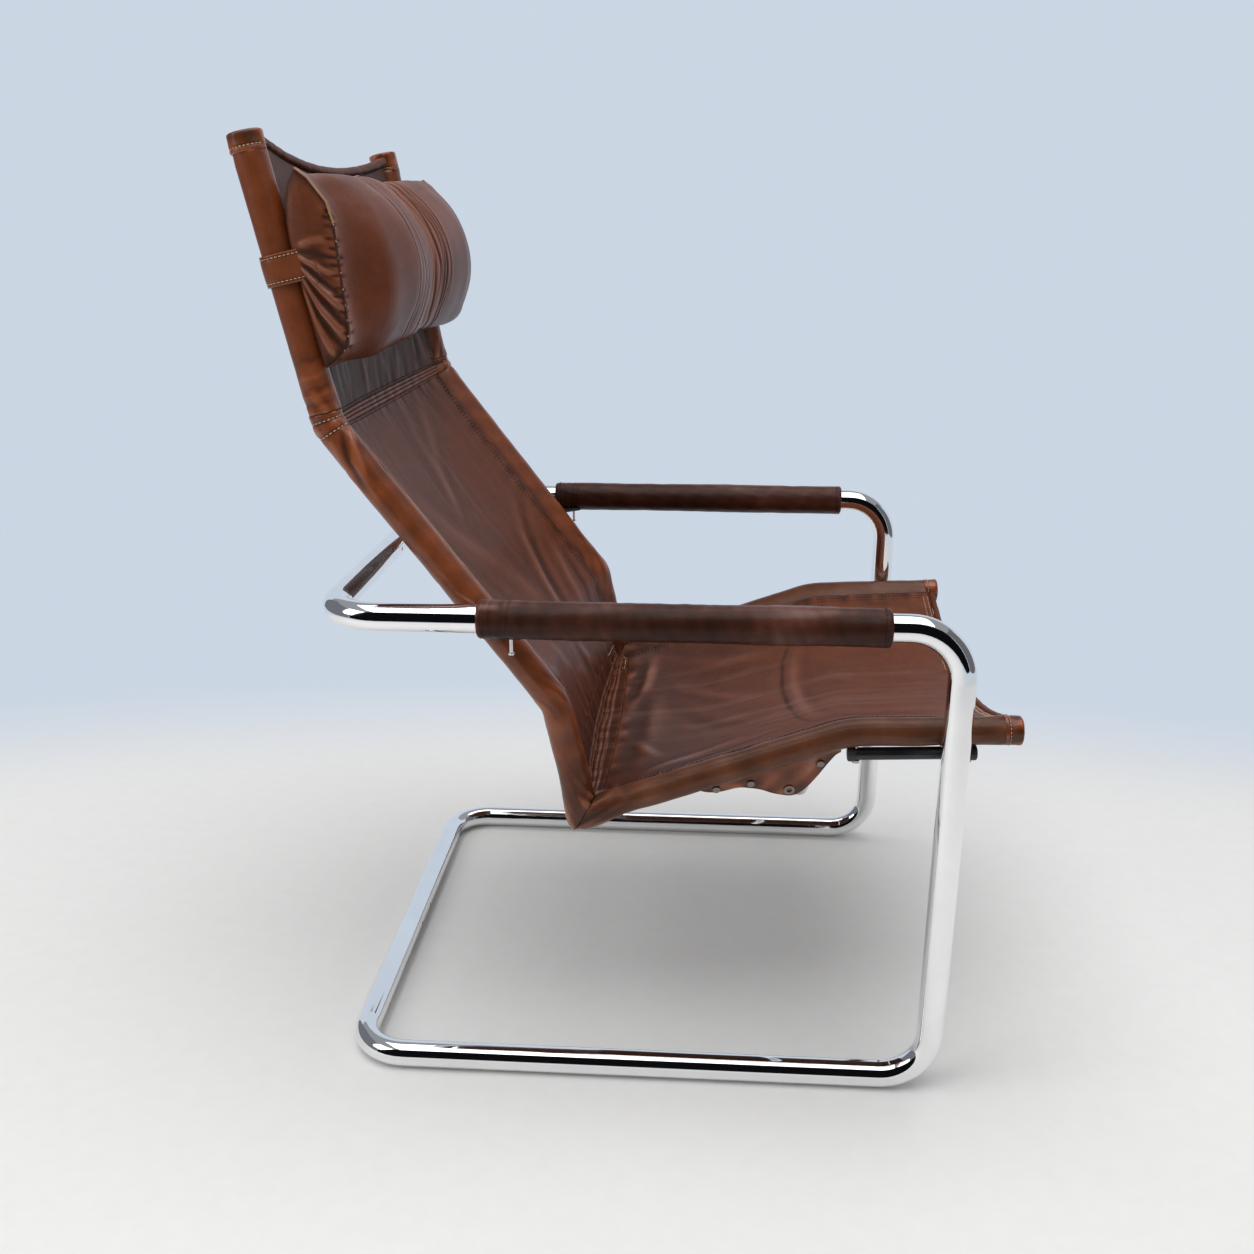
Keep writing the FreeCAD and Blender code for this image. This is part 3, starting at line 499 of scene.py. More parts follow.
# Where the panels' edges are sewn to the sleeves: inboard of the rail line, and toward the sitter
SEW_STATIONS = {
    RIGHT: [(0, 24, 5), (AT_LUMBAR - 20, 25, 5), (AT_LUMBAR + 60, 29, 5), (AT_BEND, 28, 4),
            (AT_APEX - 40, 25, 3), (AT_APEX, 22, 3), (AT_APEX + 40, 25, 4), (AT_SEAT_BEND, 27, 5),
            (AT_FRONT, 24, 4)],
    LEFT: [(0, 26, 2), (AT_LUMBAR - 20, 26, 1), (AT_LUMBAR + 60, 36, -2), (AT_BEND, 34, -2),
           (AT_APEX - 40, 28, 0), (AT_APEX, 22, 2), (AT_APEX + 40, 26, 2), (AT_SEAT_BEND, 33, 0),
           (AT_FRONT, 27, 2)],
}
SEWN = {}
for side, stations in SEW_STATIONS.items():
    marks = list(zip(*stations))
    SEWN[side] = [blur(np.interp(SLING_LINE.s, marks[0], values), 14.0) for values in marks[1:]]


def sewn_at(side, s):
    """Inboard distance and height toward the sitter of a panel's sewn edge."""
    return [np.interp(s, SLING_LINE.s, values) for values in SEWN[side]]


def sling_point(s, v, raised=0.0):
    """A point on the sling: distance s down it, v from -1 at the right seam to 1 at the left."""
    s, v = np.broadcast_arrays(np.asarray(s, float), v)
    right_in, right_up = sewn_at(RIGHT, s)
    left_in, left_up = sewn_at(LEFT, s)
    share = (v + 1) / 2
    y = (right_in - RAIL_Y) * (1 - share) + (RAIL_Y - left_in) * share
    edge = right_up * (1 - share) + left_up * share
    middle = 4.0 - np.interp(s, SLING_LINE.s, SAG)
    depth = edge + (middle - (right_up + left_up) / 2) * (1 - v * v) + raised
    return lift(SLING_LINE.at(s) + SLING_LINE.normal(s) * depth[..., None], y)


def panel_grid(start, end, folds, top_edge=None):
    """Grid of (s, v) over part of the sling, moved by the folds. Its top may follow a curve of v."""
    overlap, narrow, settle = 1.018, 60.0, 4.0
    row_step = min(MESH_STEP, (end - start) / 42)
    rows = max(2, int((end - start) / row_step) + 1)
    columns = int(2 * SLING_HALF / MESH_STEP) + 1
    v = np.linspace(-overlap, overlap, columns)[None, :]
    share = np.linspace(0, 1, rows)[:, None]
    top = start + (top_edge(v) if top_edge else 0 * v)
    low = end + 0 * v
    s = top * (1 - share) + low * share
    v = v + 0 * s
    raised = folds(s, v * SLING_HALF)
    if end - start > narrow:
        raised = raised * smooth(s - top, 0.0, settle) * smooth(low - s, 0.0, settle)
    return sling_point(s, v, raised), s, v, raised


def random_folds(seed, count, start, end, lean, length, width, height):
    """Small folds scattered over a patch; lean gives each one's direction and its spread, degrees."""
    draw = np.random.default_rng(seed)
    folds = []
    for _ in range(count):
        s = draw.uniform(*start)
        y = draw.uniform(*end)
        angle = math.radians(draw.normal(*lean))
        long = draw.uniform(*length)
        bend = draw.uniform(-0.15, 0.15) * long
        ds, dy = math.cos(angle) * long / 2, math.sin(angle) * long / 2
        middle = (s + bend * math.sin(angle), y + bend * math.cos(angle))
        points = [(s - ds, y - dy), middle, (s + ds, y + dy)]
        folds.append((points, draw.uniform(*width), draw.uniform(*height)))
    return folds


def softened(folds, height_share, width_share):
    """The same folds, lower and wider."""
    return [(points, width * width_share, height * height_share) for points, width, height in folds]


def seam_puckers(distance, along, seed, pitch=9.0, depth=0.9, reach=9.0):
    """Small ripples square to a seam that fade with distance from it."""
    waves = Waves(seed, count=6, shortest=pitch * 0.6, longest=pitch * 2.4)
    return depth * waves(along) * np.exp(-np.abs(distance) / reach) * 0.5


UPPER_FOLDS = (
    random_folds(11, 26, (175, 262), (-225, 225), (4, 10), (50, 120), (4, 9), (0.7, 2.0))
    + random_folds(12, 12, (120, 250), (-215, 215), (0, 12), (60, 130), (9, 16), (-2.6, -1.0))
)
LOWER_FOLDS = [
    ([(300, 70), (357, 56), (429, 30), (470, 6)], 13, 2.6),
    ([(303, 146), (354, 100), (399, 54), (450, 20)], 11, 2.0),
    ([(393, -150), (465, -60), (537, 10), (630, 60)], 20, 4.2),
    ([(430, -190), (500, -110), (590, -50), (680, -20)], 15, -2.6),
    ([(500, 212), (540, 168), (591, 132), (660, 100)], 9, -4.6),
    ([(515, 190), (550, 148), (600, 108), (680, 70)], 10, 3.4),
    ([(560, 210), (620, 178), (690, 150)], 8, 2.6),
    ([(600, 214), (660, 196), (720, 180)], 6, -2.4),
    ([(330, -235), (420, -226), (540, -232), (640, -230)], 8, 1.6),
    ([(620, -180), (690, -130), (750, -100)], 11, 2.4),
    ([(650, 40), (700, 60), (755, 70)], 9, -2.2),
    ([(640, -60), (700, -30), (755, -20)], 12, 2.0),
]
LOWER_FOLDS = softened(LOWER_FOLDS, 0.42, 1.35)
LOWER_FOLDS += random_folds(21, 9, (310, 430), (-190, 190), (-8, 16), (60, 120), (9, 16), (-0.7, 0.7))
LOWER_FOLDS += random_folds(22, 8, (640, 760), (-200, 200), (25, 25), (40, 90), (6, 12), (-0.8, 0.8))
SEAT_FOLDS = [
    ([(846, 200), (837, 146), (822, 66)], 7, -4.0),
    ([(858, 205), (852, 150), (836, 70), (830, 20)], 8, 3.4),
    ([(838, 146), (842, 40), (840, -60), (836, -170)], 11, -5.5),
    ([(828, -40), (850, -90), (880, -140)], 7, 2.6),
    ([(858, -208), (890, -178), (935, -150), (985, -120)], 8, 3.0),
    ([(880, -222), (930, -190), (1000, -150), (1044, -130)], 7, -2.6),
    ([(905, -226), (960, -206), (1020, -180)], 6, 2.2),
    ([(950, -230), (1010, -214), (1070, -190)], 6, 1.9),
    ([(1056, -182), (1130, -196), (1218, -188)], 9, 2.6),
    ([(1050, -140), (1140, -156), (1230, -142)], 12, -2.4),
    ([(1100, 214), (1170, 205), (1240, 200)], 9, 2.0),
    ([(880, 120), (940, 60), (1010, 20)], 14, 2.2),
    ([(870, 60), (930, -20), (1000, -80)], 12, -2.0),
    ([(900, 180), (960, 150), (1030, 140)], 12, 2.2),
]
SEAT_FOLDS = softened(SEAT_FOLDS, 0.42, 1.3)
SEAT_FOLDS += [
    ([(1056, 160), (1038, 110), (1031, 34), (1036, -30), (1047, -98), (1062, -140), (1092, -162)], 2.4, -1.3),
    ([(1072, 150), (1054, 100), (1048, 34), (1052, -30), (1064, -92), (1082, -130)], 9.0, 0.9),
]
SEAT_FOLDS += random_folds(31, 10, (850, 1000), (-215, 215), (10, 30), (40, 100), (7, 13), (-0.8, 0.8))
SEAT_FOLDS += random_folds(32, 8, (1080, 1250), (-200, 200), (0, 30), (50, 120), (10, 18), (-0.7, 0.7))
CREASE_RIDGES = [-7.5, -2.0, 3.5, 9.0]


def upper_surface(s, y):
    gather = seam_puckers(AT_LUMBAR - 8 - s, y, 41, pitch=16, depth=1.1, reach=26)
    return fold_height(s, y, UPPER_FOLDS) + gather + edge_puckers(s, y, 42)


def edge_puckers(s, y, seed, depth=0.7):
    edge = SLING_HALF - np.abs(y)
    return seam_puckers(edge, s + 700 * (y > 0), seed, pitch=16, depth=depth, reach=12)


def lower_surface(s, y):
    below = seam_puckers(s - AT_LUMBAR - 8, y, 43, pitch=13, depth=0.7, reach=12)
    above = seam_puckers(AT_APEX - 31 - s, y, 44, pitch=16, depth=0.8, reach=12)
    return fold_height(s, y, LOWER_FOLDS) + below + above + edge_puckers(s, y, 45, 0.5)


def seat_surface(s, y):
    gather = seam_puckers(s - AT_APEX - 21, y, 46, pitch=22, depth=0.8, reach=20)
    near_seam = seam_puckers(SLING_HALF + y, s, 47, pitch=12, depth=1.3, reach=11)
    near_seam *= 1 - smooth(s, 1040, 1120) * 0.6
    front = seam_puckers(AT_FRONT - 16 - s, y, 48, pitch=24, depth=0.8, reach=10)
    return fold_height(s, y, SEAT_FOLDS) + gather + near_seam + front + edge_puckers(s, y, 49)


def crease_surface(s, y):
    """Stitched ridges that run across the chair where the seat meets the back."""
    wander = Waves(51, count=5, shortest=70, longest=220)(y) * 0.8
    total = 0 * s
    for offset in CREASE_RIDGES:
        total = total + 1.7 * bell(s - (AT_APEX + offset + wander), 1.5)
    return total + seam_puckers(s - AT_APEX, y, 52, pitch=18, depth=0.6, reach=30)


def lumbar_surface(s, y):
    """Three thin raised ribs."""
    ribs = sum(bell(s - AT_LUMBAR - offset, 1.15) for offset in (-4.0, 0.0, 4.0))
    return 1.5 * ribs + Waves(53, 6, 12, 40)(y) * 0.2


def relief(raised, full=2.4):
    """Marks a surface's ridges above 0.5 and its hollows below. A height of half the full range gives 1. The
    leather paints highlight on its ridges and shade in its hollows.
    """
    kernel = np.ones(9) / 9

    def evened(row):
        return np.convolve(np.pad(row, 4, mode="edge"), kernel, "valid")
    base = raised.copy()
    for axis in (0, 1):
        for _ in range(3):
            base = np.apply_along_axis(evened, axis, base)
    return np.clip(0.5 + (raised - base) / full, 0, 1)


def sling_piece(name, start, end, surface, node, finish, depth, top_edge=None):
    """One leather panel of the sling as a sheet with thickness, folds and marks for its finish."""
    def folds(s, y):
        return surface(s, y) * depth
    grid, s, v, raised = panel_grid(start, end, folds, top_edge)
    points, faces = sheet_solid(grid, SLING_THICKNESS)
    ridge = relief(raised)
    sewn, shaded, flesh_side = 0.7, 0.7, 1.4
    edge = sewn - sewn * smooth(1 - np.abs(v), 0.0, 0.025)
    # Painted shade darkens the panels round the apex where back and seat meet
    edge = edge + shaded * smooth(s, AT_APEX - 120, AT_APEX) * (1 - smooth(s, AT_APEX + 90, AT_APEX + 250))
    marks = {"ridge": np.tile(ridge.ravel(), 2), "edge": np.r_[edge.ravel(), edge.ravel() + flesh_side]}
    piece = mesh_piece(name, points, faces, finish, slot="sling_leather", replaces=(node,), marks=marks)


# Sleeves: a leather tube with a sewn tip toward the sling
def teardrop(angle, radius, inboard, up):
    """Radius of a sleeve at an angle, 0 inboard and a quarter turn toward the sitter."""
    tip = np.hypot(inboard, up)
    open_angle = np.arccos(np.clip(radius / np.maximum(tip, radius + 0.01), -1, 1))
    return radius / np.cos(np.maximum(0.0, open_angle - off_tip(angle, inboard, up)))


def sleeve_angles():
    """Angles round a sleeve, closer together at its sewn tip."""
    even = np.linspace(-math.pi, math.pi, 56, endpoint=False)
    return even - 0.55 * np.sin(even)


def off_tip(angle, inboard, up):
    """How far an angle round a sleeve is from its sewn tip."""
    return np.abs((angle - np.arctan2(up, inboard) + math.pi) % (2 * math.pi) - math.pi)


def sleeve_grid(line, start, end, side, radius, sling_start, folds, mitre=None):
    """Rings round a rail. mitre is 'end' or 'start' where the sleeve meets the other at the apex."""
    rows = int((end - start) / MESH_STEP) + 1
    s = np.linspace(start, end, rows)[:, None]
    angle = sleeve_angles()[None, :]
    sling_s = np.clip(sling_start + s, 0, AT_FRONT)
    inboard, up = sewn_at(side, sling_s)
    along = s + 0 * angle
    r = teardrop(angle, radius, inboard, up) + folds(along, angle + 0 * s)
    if mitre:
        axis_end = np.array(line.length if mitre == "end" else 0.0)
        rise = r * np.sin(angle)
        reach = -rise * (line.normal(axis_end) @ MITRE_NORMAL) / (line.tangent(axis_end) @ MITRE_NORMAL)
        along = along + smooth(np.abs(axis_end - s), 60.0, 0.0) * reach
    base = line.at(along)
    normal = line.normal(np.clip(along, 0, line.length))
    xz = base + normal * (r * np.sin(angle))[..., None]
    y = side * (RAIL_Y - r * np.cos(angle))
    grid = lift(xz, y)
    if mitre:
        grid = round_elbow(grid, side, radius)
    return grid, s + 0 * angle, angle + 0 * s


BACK_END_T = unit(vec(APEX[0] - LOWER_BEND[0], APEX[1] - LOWER_BEND[1]))
SEAT_START_T = unit(vec(SEAT_BEND[0] - APEX[0], SEAT_BEND[1] - APEX[1]))
MITRE_NORMAL = unit(SEAT_START_T + BACK_END_T)


def round_elbow(grid, side, radius):
    """Draw the mitre's sharp outer point back to a rounded elbow."""
    corner = vec(APEX[0], side * RAIL_Y, APEX[1])
    outer = unit(vec(BACK_END_T[0] - SEAT_START_T[0], 0, BACK_END_T[1] - SEAT_START_T[1]))
    beyond = (grid - corner) @ outer
    limit = radius * 1.12
    squeezed = limit + (beyond - limit) * 0.18
    change = np.where(beyond > limit, squeezed - beyond, 0.0)
    return grid + outer * change[..., None]


def sleeve_piece(stem, side, line, start, end, radius, sling_start, folds, finish, depth, mitre=None):
    """A leather sleeve with a bore for its rail. On the back rails it is darkened toward the apex with
    painted shade.
    """
    def raised(s, angle):
        return folds(s, (angle % (2 * math.pi)) * radius) * depth
    grid, s, angle = sleeve_grid(line, start, end, side, radius, sling_start, raised, mitre)
    rows = np.unique(np.r_[np.arange(0, len(grid), 5), len(grid) - 1])
    centre = lift(line.at(np.clip(s[rows, :1], 0, line.length)), side * RAIL_Y)
    outward = grid[rows] - centre
    reach = np.linalg.norm(outward, axis=-1, keepdims=True)
    bore = centre + outward * (SLEEVE_BORE_R / np.maximum(reach, SLEEVE_BORE_R + 0.1))
    points = np.concatenate([grid, bore[::-1]])
    marks = plain_marks(points.size // 3)
    outside = slice(0, s.size)
    marks["ridge"][outside] = relief(raised(s, angle)).ravel()
    inboard, up = sewn_at(side, np.clip(sling_start + s, 0, AT_FRONT))
    # Painted shade: the back sleeves darken toward the apex
    dark = 1.2 * bell(AT_APEX - sling_start - s, 60.0) * (sling_start == 0.0)
    marks["edge"][outside] = (1 - smooth(off_tip(angle, inboard, up), 0.0, 0.35) + dark).ravel()
    word = SIDE_NAMES[side]
    mesh_piece(f"{stem}_leather_{word}", points, looped_faces(*points.shape[:2]), finish, slot="rail_leather",
               replaces=(f"{stem}_{word}",), marks=marks)


def sleeve_folds(seed, gathers, length):
    """Puckers at both ends of a sleeve and a few soft folds between. gathers are (where, reach, height)."""
    draw = np.random.default_rng(seed)
    around = Waves(seed, count=7, shortest=7, longest=26)
    soft = random_folds(seed + 1, int(length / 26), (0, length), (10, 95), (25, 35), (14, 40), (2.5, 5.0),
                        (-0.35, 0.35))
    shift = draw.uniform(0, 40)

    def surface(s, w):
        total = fold_height(s, w, soft)
        for where, reach, height in gathers:
            fade = np.exp(-np.abs(s - where) / reach)
            total = total + height * around(w + 0.35 * (s - where), shift) * fade
        return total + 0.25 * Waves(seed + 2, 6, 30, 120)(s, w)
    return surface


LUMBAR_BACK_FOLDS = [
    ([(296, 24), (318, 40), (352, 52)], 2.6, 1.5),
    ([(298, 40), (322, 54), (362, 62)], 2.4, -1.5),
    ([(300, 56), (326, 66), (372, 70)], 2.4, 1.4),
    ([(298, 74), (320, 78), (350, 74)], 2.6, -1.2),
    ([(304, 32), (330, 50), (380, 58)], 3.0, 1.0),
    ([(310, 60), (340, 72), (390, 82)], 3.2, -0.9),
]
ABOVE_LUMBAR_FOLDS = [
    ([(216, 30), (221, 46), (218, 60)], 2.0, -0.5),
    ([(232, 28), (238, 48), (235, 74)], 2.0, 0.5),
    ([(245, 30), (250, 46), (247, 62)], 1.8, -0.6),
    ([(252, 26), (257, 50), (254, 78)], 1.8, 0.6),
    ([(262, 26), (265, 54), (262, 86)], 1.8, -0.6),
]


def upper_sleeve_folds(side):
    """Folds of an upper sleeve, smoother where the headrest's strap slides."""
    base = sleeve_folds(61 + side, [(20, 5, 0.35), (270, 16, 0.6)], 270)

    def surface(s, w):
        strapped = smooth(s, 22.0, 32.0) * (1 - smooth(s, 190.0, 212.0))
        return base(s, w) * (1 - 0.75 * strapped) + fold_height(s, w, ABOVE_LUMBAR_FOLDS)
    return surface


def lower_sleeve_folds(side):
    gathers = [(288, 14, 0.5), (BACK_SLEEVE_END, 24, 1.2), (655, 16, 0.6)]
    base = sleeve_folds(71 + side, gathers, BACK_SLEEVE_END)

    def surface(s, w):
        total = base(s, w) + fold_height(s, w, LUMBAR_BACK_FOLDS)
        for place in LUMBAR_RINGS:
            total = total - 0.9 * bell(s - place, 1.6)
        between = sum(LUMBAR_RINGS) / 2
        return total + 0.8 * bell(s - between, 4.5) + elbow_swell(BACK_SLEEVE_END - s, w, 3.0)
    return surface


def elbow_swell(distance, w, height):
    """Loose leather on the outside of the bottom elbow."""
    outside = np.maximum(0.0, -np.sin(w / BACK_SLEEVE_R))
    return height * outside * bell(distance - 20.0, 16.0)


def seat_sleeve_folds(side):
    base = sleeve_folds(81 + side, [(0, 26, 1.1), (470, 12, 0.5)], 480)
    return lambda s, w: base(s, w) + elbow_swell(s, w, 5.5)


def turned_frame(axis):
    """An axis and two directions square to it, for a turned piece."""
    axis = unit(axis)
    across = unit(np.cross(axis, vec(0.31, 0.9, 0.2)))
    return axis, across, np.cross(axis, across)


def lathe_piece(name, origin, axis, profile, folds, finish, slot, nodes):
    """A closed turned leather piece. The profile is (distance along the axis, radius), in mm."""
    count = 56
    axis, across, other = turned_frame(axis)
    angle = np.linspace(0, 2 * math.pi, count, endpoint=False)[None, :]
    along, radius = [vec(*values)[:, None] for values in zip(*profile)]
    raised = folds(along, angle) * np.minimum(1.0, radius / 8.0)
    r = np.maximum(radius + raised, 0.02)
    points = origin + along[..., None] * axis + r[..., None] * circles(across, other, count)
    marks = {"ridge": np.clip(0.5 + raised / 1.6, 0, 1), "edge": np.zeros(r.size)}
    mesh_piece(name, points, capped_faces(*r.shape), finish, slot=slot, replaces=nodes, marks=marks)


# Piping and stitching: cords and short threads laid along a path
def piping(name, path, radius, finish, body, slot):
    """A thin round cord of leather along a path."""
    sides = 10
    tangent = unit(np.gradient(path, axis=0))
    side = unit(np.cross(tangent, vec(0.13, 1, 0.07)))
    tube = path[:, None] + circles(side, np.cross(tangent, side), sides) * radius
    faces = capped_faces(len(path), sides)
    mesh_piece(name, tube, faces, finish, body=body, slot=slot, marks=plain_marks(len(path) * sides))


def stitch_ends(points, normals, pitch, share):
    """Both ends of each stitch along a dense path, and its normal."""
    points = np.asarray(points, float)
    run = np.r_[0, np.cumsum(np.linalg.norm(np.diff(points, axis=0), axis=1))]
    starts = np.arange(0.5, run[-1] - pitch, pitch)

    def read(values, at):
        return np.stack([np.interp(at, run, values[:, i]) for i in range(3)], axis=-1)
    reach = pitch * share
    return read(points, starts), read(points, starts + reach), unit(read(normals, starts + reach / 2))


def stitching(name, paths, finish, body="chair", thread=0.45, pitch=5.0, share=0.68):
    """Stitches along several (points, normals) paths. The share of the pitch is thread, the rest is gap."""
    all_points, all_faces, base, sides = [], [], 0, 6
    stations = vec(0.0, 0.18, 0.5, 0.82, 1.0)
    heights = vec(-0.9, 0.45, 0.8, 0.45, -0.9) * thread
    widths = vec(0.5, 1.0, 1.05, 1.0, 0.5) * thread
    for points, normals in paths:
        a, b, n = stitch_ends(points, normals, pitch, share)
        if not len(a):
            continue
        side = unit(np.cross(unit(b - a), n))
        centre = a[:, None] + (b - a)[:, None] * stations[None, :, None] + n[:, None] * heights[None, :, None]
        rings = centre[:, :, None] + circles(side, n, sides)[:, None] * widths[None, :, None, None]
        for one in rings:
            all_points.append(one.reshape(-1, 3))
            all_faces += capped_faces(len(stations), sides, base)
            base += len(stations) * sides
    mesh_piece(name, np.concatenate(all_points), all_faces, finish, body=body)


def sling_thread(surface, s, y, depth, raised=SLING_THICKNESS / 2):
    """Path on the sitter's face of a sling panel through those s and y, with its normals."""
    s, y = np.broadcast_arrays(np.asarray(s, float), np.asarray(y, float))

    def place(s, y):
        grid_s, grid_y = np.atleast_2d(s), np.atleast_2d(y)
        return sling_point(grid_s, grid_y / SLING_HALF, surface(grid_s, grid_y) * depth)[0]
    centre = place(s, y)
    normal = unit(np.cross(place(s + 1.0, y) - centre, place(s, y + 1.0) - centre))
    return centre + normal * raised, normal


def sleeve_thread(line, s, w, side, radius, sling_start, folds, depth, raised=0.0):
    """Path on a sleeve through those distances along it and round it, with its normals."""
    s, w = np.broadcast_arrays(np.asarray(s, float), np.asarray(w, float))
    angle = w / radius
    inboard, up = sewn_at(side, np.clip(sling_start + s, 0, AT_FRONT))
    r = teardrop(angle, radius, inboard, up) + folds(s, w % (2 * math.pi * radius)) * depth + raised
    normal = line.normal(s)
    xz = line.at(s) + normal * (r * np.sin(angle))[..., None]
    points = lift(xz, side * (RAIL_Y - r * np.cos(angle)))
    outward = lift(normal * np.sin(angle)[..., None], side * -np.cos(angle))
    return points, unit(outward)


# Finishes
def leather(name, colour, chair, patch, rough, worn, streaks=0.0, pale=(0.30, 0.13, 0.07), gloss=0.0,
            coat=0.45):
    """Leather: a base colour with patches, darker seams and a fine grain, with painted highlight on ridges,
    partly standing for wear, and painted shade in hollows and round the apex.
    """
    finish = Finish(name)
    base = vec(*colour)
    ridge = finish.mark("ridge")
    edge = finish.mark("edge")
    patches = finish.noise(9.0, 4.0, 0.6, warp=0.3)
    fine = finish.noise(70.0, 5.0, 0.65)
    # The ridge mark lightens ridges and darkens hollows as painted highlight and painted shade; the edge mark
    # darkens seams and, round the apex, is painted shade
    tone = (patches - 0.5) * (1.5 * patch) + (fine - 0.5) * 0.4 + (ridge - 0.5) * 1.1 - edge * 0.3 + 0.5
    dark, light = tuple(base * 0.42), tuple(np.minimum(base * 1.6, 1))
    shade = finish.mix(tone.band(0.0, 1.0), dark, light)
    # Painted highlight, partly standing for wear: ridges turn toward the pale colour
    shine = ((ridge - 0.6) * 2.2).clamp() * (fine * 1.4).clamp() * worn
    shade = finish.mix(shine, shade, pale)
    # Soft pale streaks of painted sheen
    if streaks:
        long = finish.noise(5.0, 3.0, 0.5, where=finish.place((0.5, 9.0, 0.5)))
        wide = finish.noise(3.0, 2.0, 0.5)
        painted_sheen = long.band(0.5, 0.74) * wide.band(0.3, 0.7) * streaks
        shade = finish.mix(painted_sheen, shade, (0.18, 0.085, 0.06))
    cell = finish.cells(1.0 / chair.grain)
    second = finish.cells(0.45 / chair.grain)
    pores = finish.noise(420.0, 2.0, 0.5)
    height = cell * 0.6 + second * 0.5 + pores * 0.35 + fine * 0.5
    finish.bump(height, 0.00045, 0.5)
    dull = rough + (patches - 0.5) * 0.12 + (0.5 - ridge) * 0.16 + cell * 0.05
    polish = ((ridge - 0.5) * 1.8).clamp() * coat + patches * (gloss * 2)
    finish.set(Base_Color=shade, Roughness=dull.clamp(), IOR=1.48, Specular_IOR_Level=0.18)
    finish.set(Coat_Weight=polish, Coat_Roughness=0.24)
    return finish.material


def thread_finish(name, colour):
    finish = Finish(name)
    twist = finish.node("ShaderNodeTexWave", {"bands_direction": "DIAGONAL"},
                        {"Scale": 700.0, "Distortion": 0.6, "Vector": finish.place()}, 1)
    worn = finish.noise(130.0, 2.0)
    base = vec(*colour)
    shade = finish.mix(twist * 0.5 + worn * 0.5, tuple(base * 0.5), tuple(np.minimum(base * 1.3, 1)))
    finish.set(Base_Color=shade, Roughness=0.8)
    finish.bump(twist, 0.0002, 0.6)
    return finish.material


def chrome_finish():
    finish = Finish("mirror_chrome")
    smear = finish.noise(14.0, 4.0, 0.6)
    pits = finish.noise(900.0, 2.0, 0.6)
    tint = finish.mix(smear.band(0.3, 0.8), (0.86, 0.865, 0.875), (0.93, 0.93, 0.935))
    rough = smear.band(0.35, 0.85) * 0.05 + 0.035 + pits.band(0.66, 0.8) * 0.12
    finish.set(Base_Color=tint, Metallic=1.0, Roughness=rough)
    return finish.material


def metal_finish(name, colour, rough):
    finish = Finish(name)
    brush = finish.noise(60.0, 4.0, 0.6, where=finish.place((1.0, 14.0, 14.0)))
    fine = finish.noise(350.0, 3.0, 0.6)
    base = vec(*colour)
    shade = finish.mix(brush * 0.6 + fine * 0.4, tuple(base * 0.75), tuple(np.minimum(base * 1.2, 1)))
    finish.set(Base_Color=shade, Metallic=1.0, Roughness=brush * 0.16 + (rough - 0.08))
    finish.bump(brush * 0.5 + fine * 0.5, 0.0001, 0.3)
    return finish.material


def coated_finish(name, colour, rough, orange_peel=0.3):
    """Enamel or moulded plastic: faint orange peel, dust and rubbed spots."""
    finish = Finish(name)
    peel = finish.noise(260.0, 2.0, 0.5)
    rub = finish.noise(38.0, 5.0, 0.65)
    base = vec(*colour)
    shade = finish.mix(rub.band(0.45, 0.8), tuple(base), tuple(base * 1.9 + 0.008))
    finish.set(Base_Color=shade, Roughness=rub * 0.2 + (rough - 0.1))
    finish.bump(peel, 0.0002, orange_peel)
    return finish.material


def woven_finish(name, colour):
    finish = Finish(name)
    warp, weft = [finish.node("ShaderNodeTexWave", {"bands_direction": direction},
                              {"Scale": scale, "Distortion": 0.4, "Vector": finish.place()}, 1)
                  for direction, scale in (("Y", 520.0), ("Z", 364.0))]
    base = vec(*colour)
    shade = finish.mix(warp * weft, tuple(base * 0.5), tuple(base * 1.6))
    finish.set(Base_Color=shade, Roughness=0.85)
    finish.bump(warp + weft, 0.0004, 0.6)
    return finish.material


def finish_node(names, material):
    for name in names:
        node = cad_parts[name]
        if not node.material_slots:
            node.data.materials.append(material)
        for slot in node.material_slots:
            slot.material = material


def both(*stems):
    return [f"{stem}_{side}" for stem in stems for side in ("right", "left")]


MADE = {}


def shared(key, make):
    """A finish made once and used by several operators."""
    if key not in MADE:
        MADE[key] = make()
    return MADE[key]


def chair_leather(name, colour, **amounts):
    """One of the chair's leathers. The colour is named as it is in the settings."""
    chair = bpy.context.scene.lounge_chair_leather
    return shared(name, lambda: leather(name, getattr(chair, colour), chair, **amounts))


def chair_thread(name, colour):
    chair = bpy.context.scene.lounge_chair_leather
    return shared(name, lambda: thread_finish(name, getattr(chair, colour)))


def rail_leather():
    return chair_leather("saddle_brown_leather", "sleeve_colour", patch=0.16, rough=0.36, worn=0.4, gloss=0.5)


def seat_sleeve_leather():
    return chair_leather("dark_saddle_leather", "seat_sleeve_colour", patch=0.2, rough=0.33, worn=0.35,
                         pale=(0.2, 0.09, 0.05), gloss=0.2)


def sling_leather():
    return chair_leather("sling_brown_leather", "sling_colour", patch=0.3, rough=0.42, worn=0.35, streaks=0.5)


def upper_leather():
    return chair_leather("shaded_grey_brown_leather", "upper_colour", patch=0.25, rough=0.48, worn=0.4,
                         pale=(0.19, 0.11, 0.085), coat=0.1)


def arm_leather():
    return chair_leather("arm_dark_leather", "arm_colour", patch=0.12, rough=0.33, worn=0.5,
                         pale=(0.19, 0.105, 0.08))


def headrest_leather():
    return chair_leather("headrest_chestnut_leather", "headrest_colour", patch=0.22, rough=0.42, worn=0.45,
                         pale=(0.24, 0.12, 0.075), gloss=0.12)


def light_piping():
    return chair_leather("pale_piping_leather", "piping_colour", patch=0.3, rough=0.4, worn=0.3)


def light_thread():
    return chair_thread("cream_thread", "thread_colour")


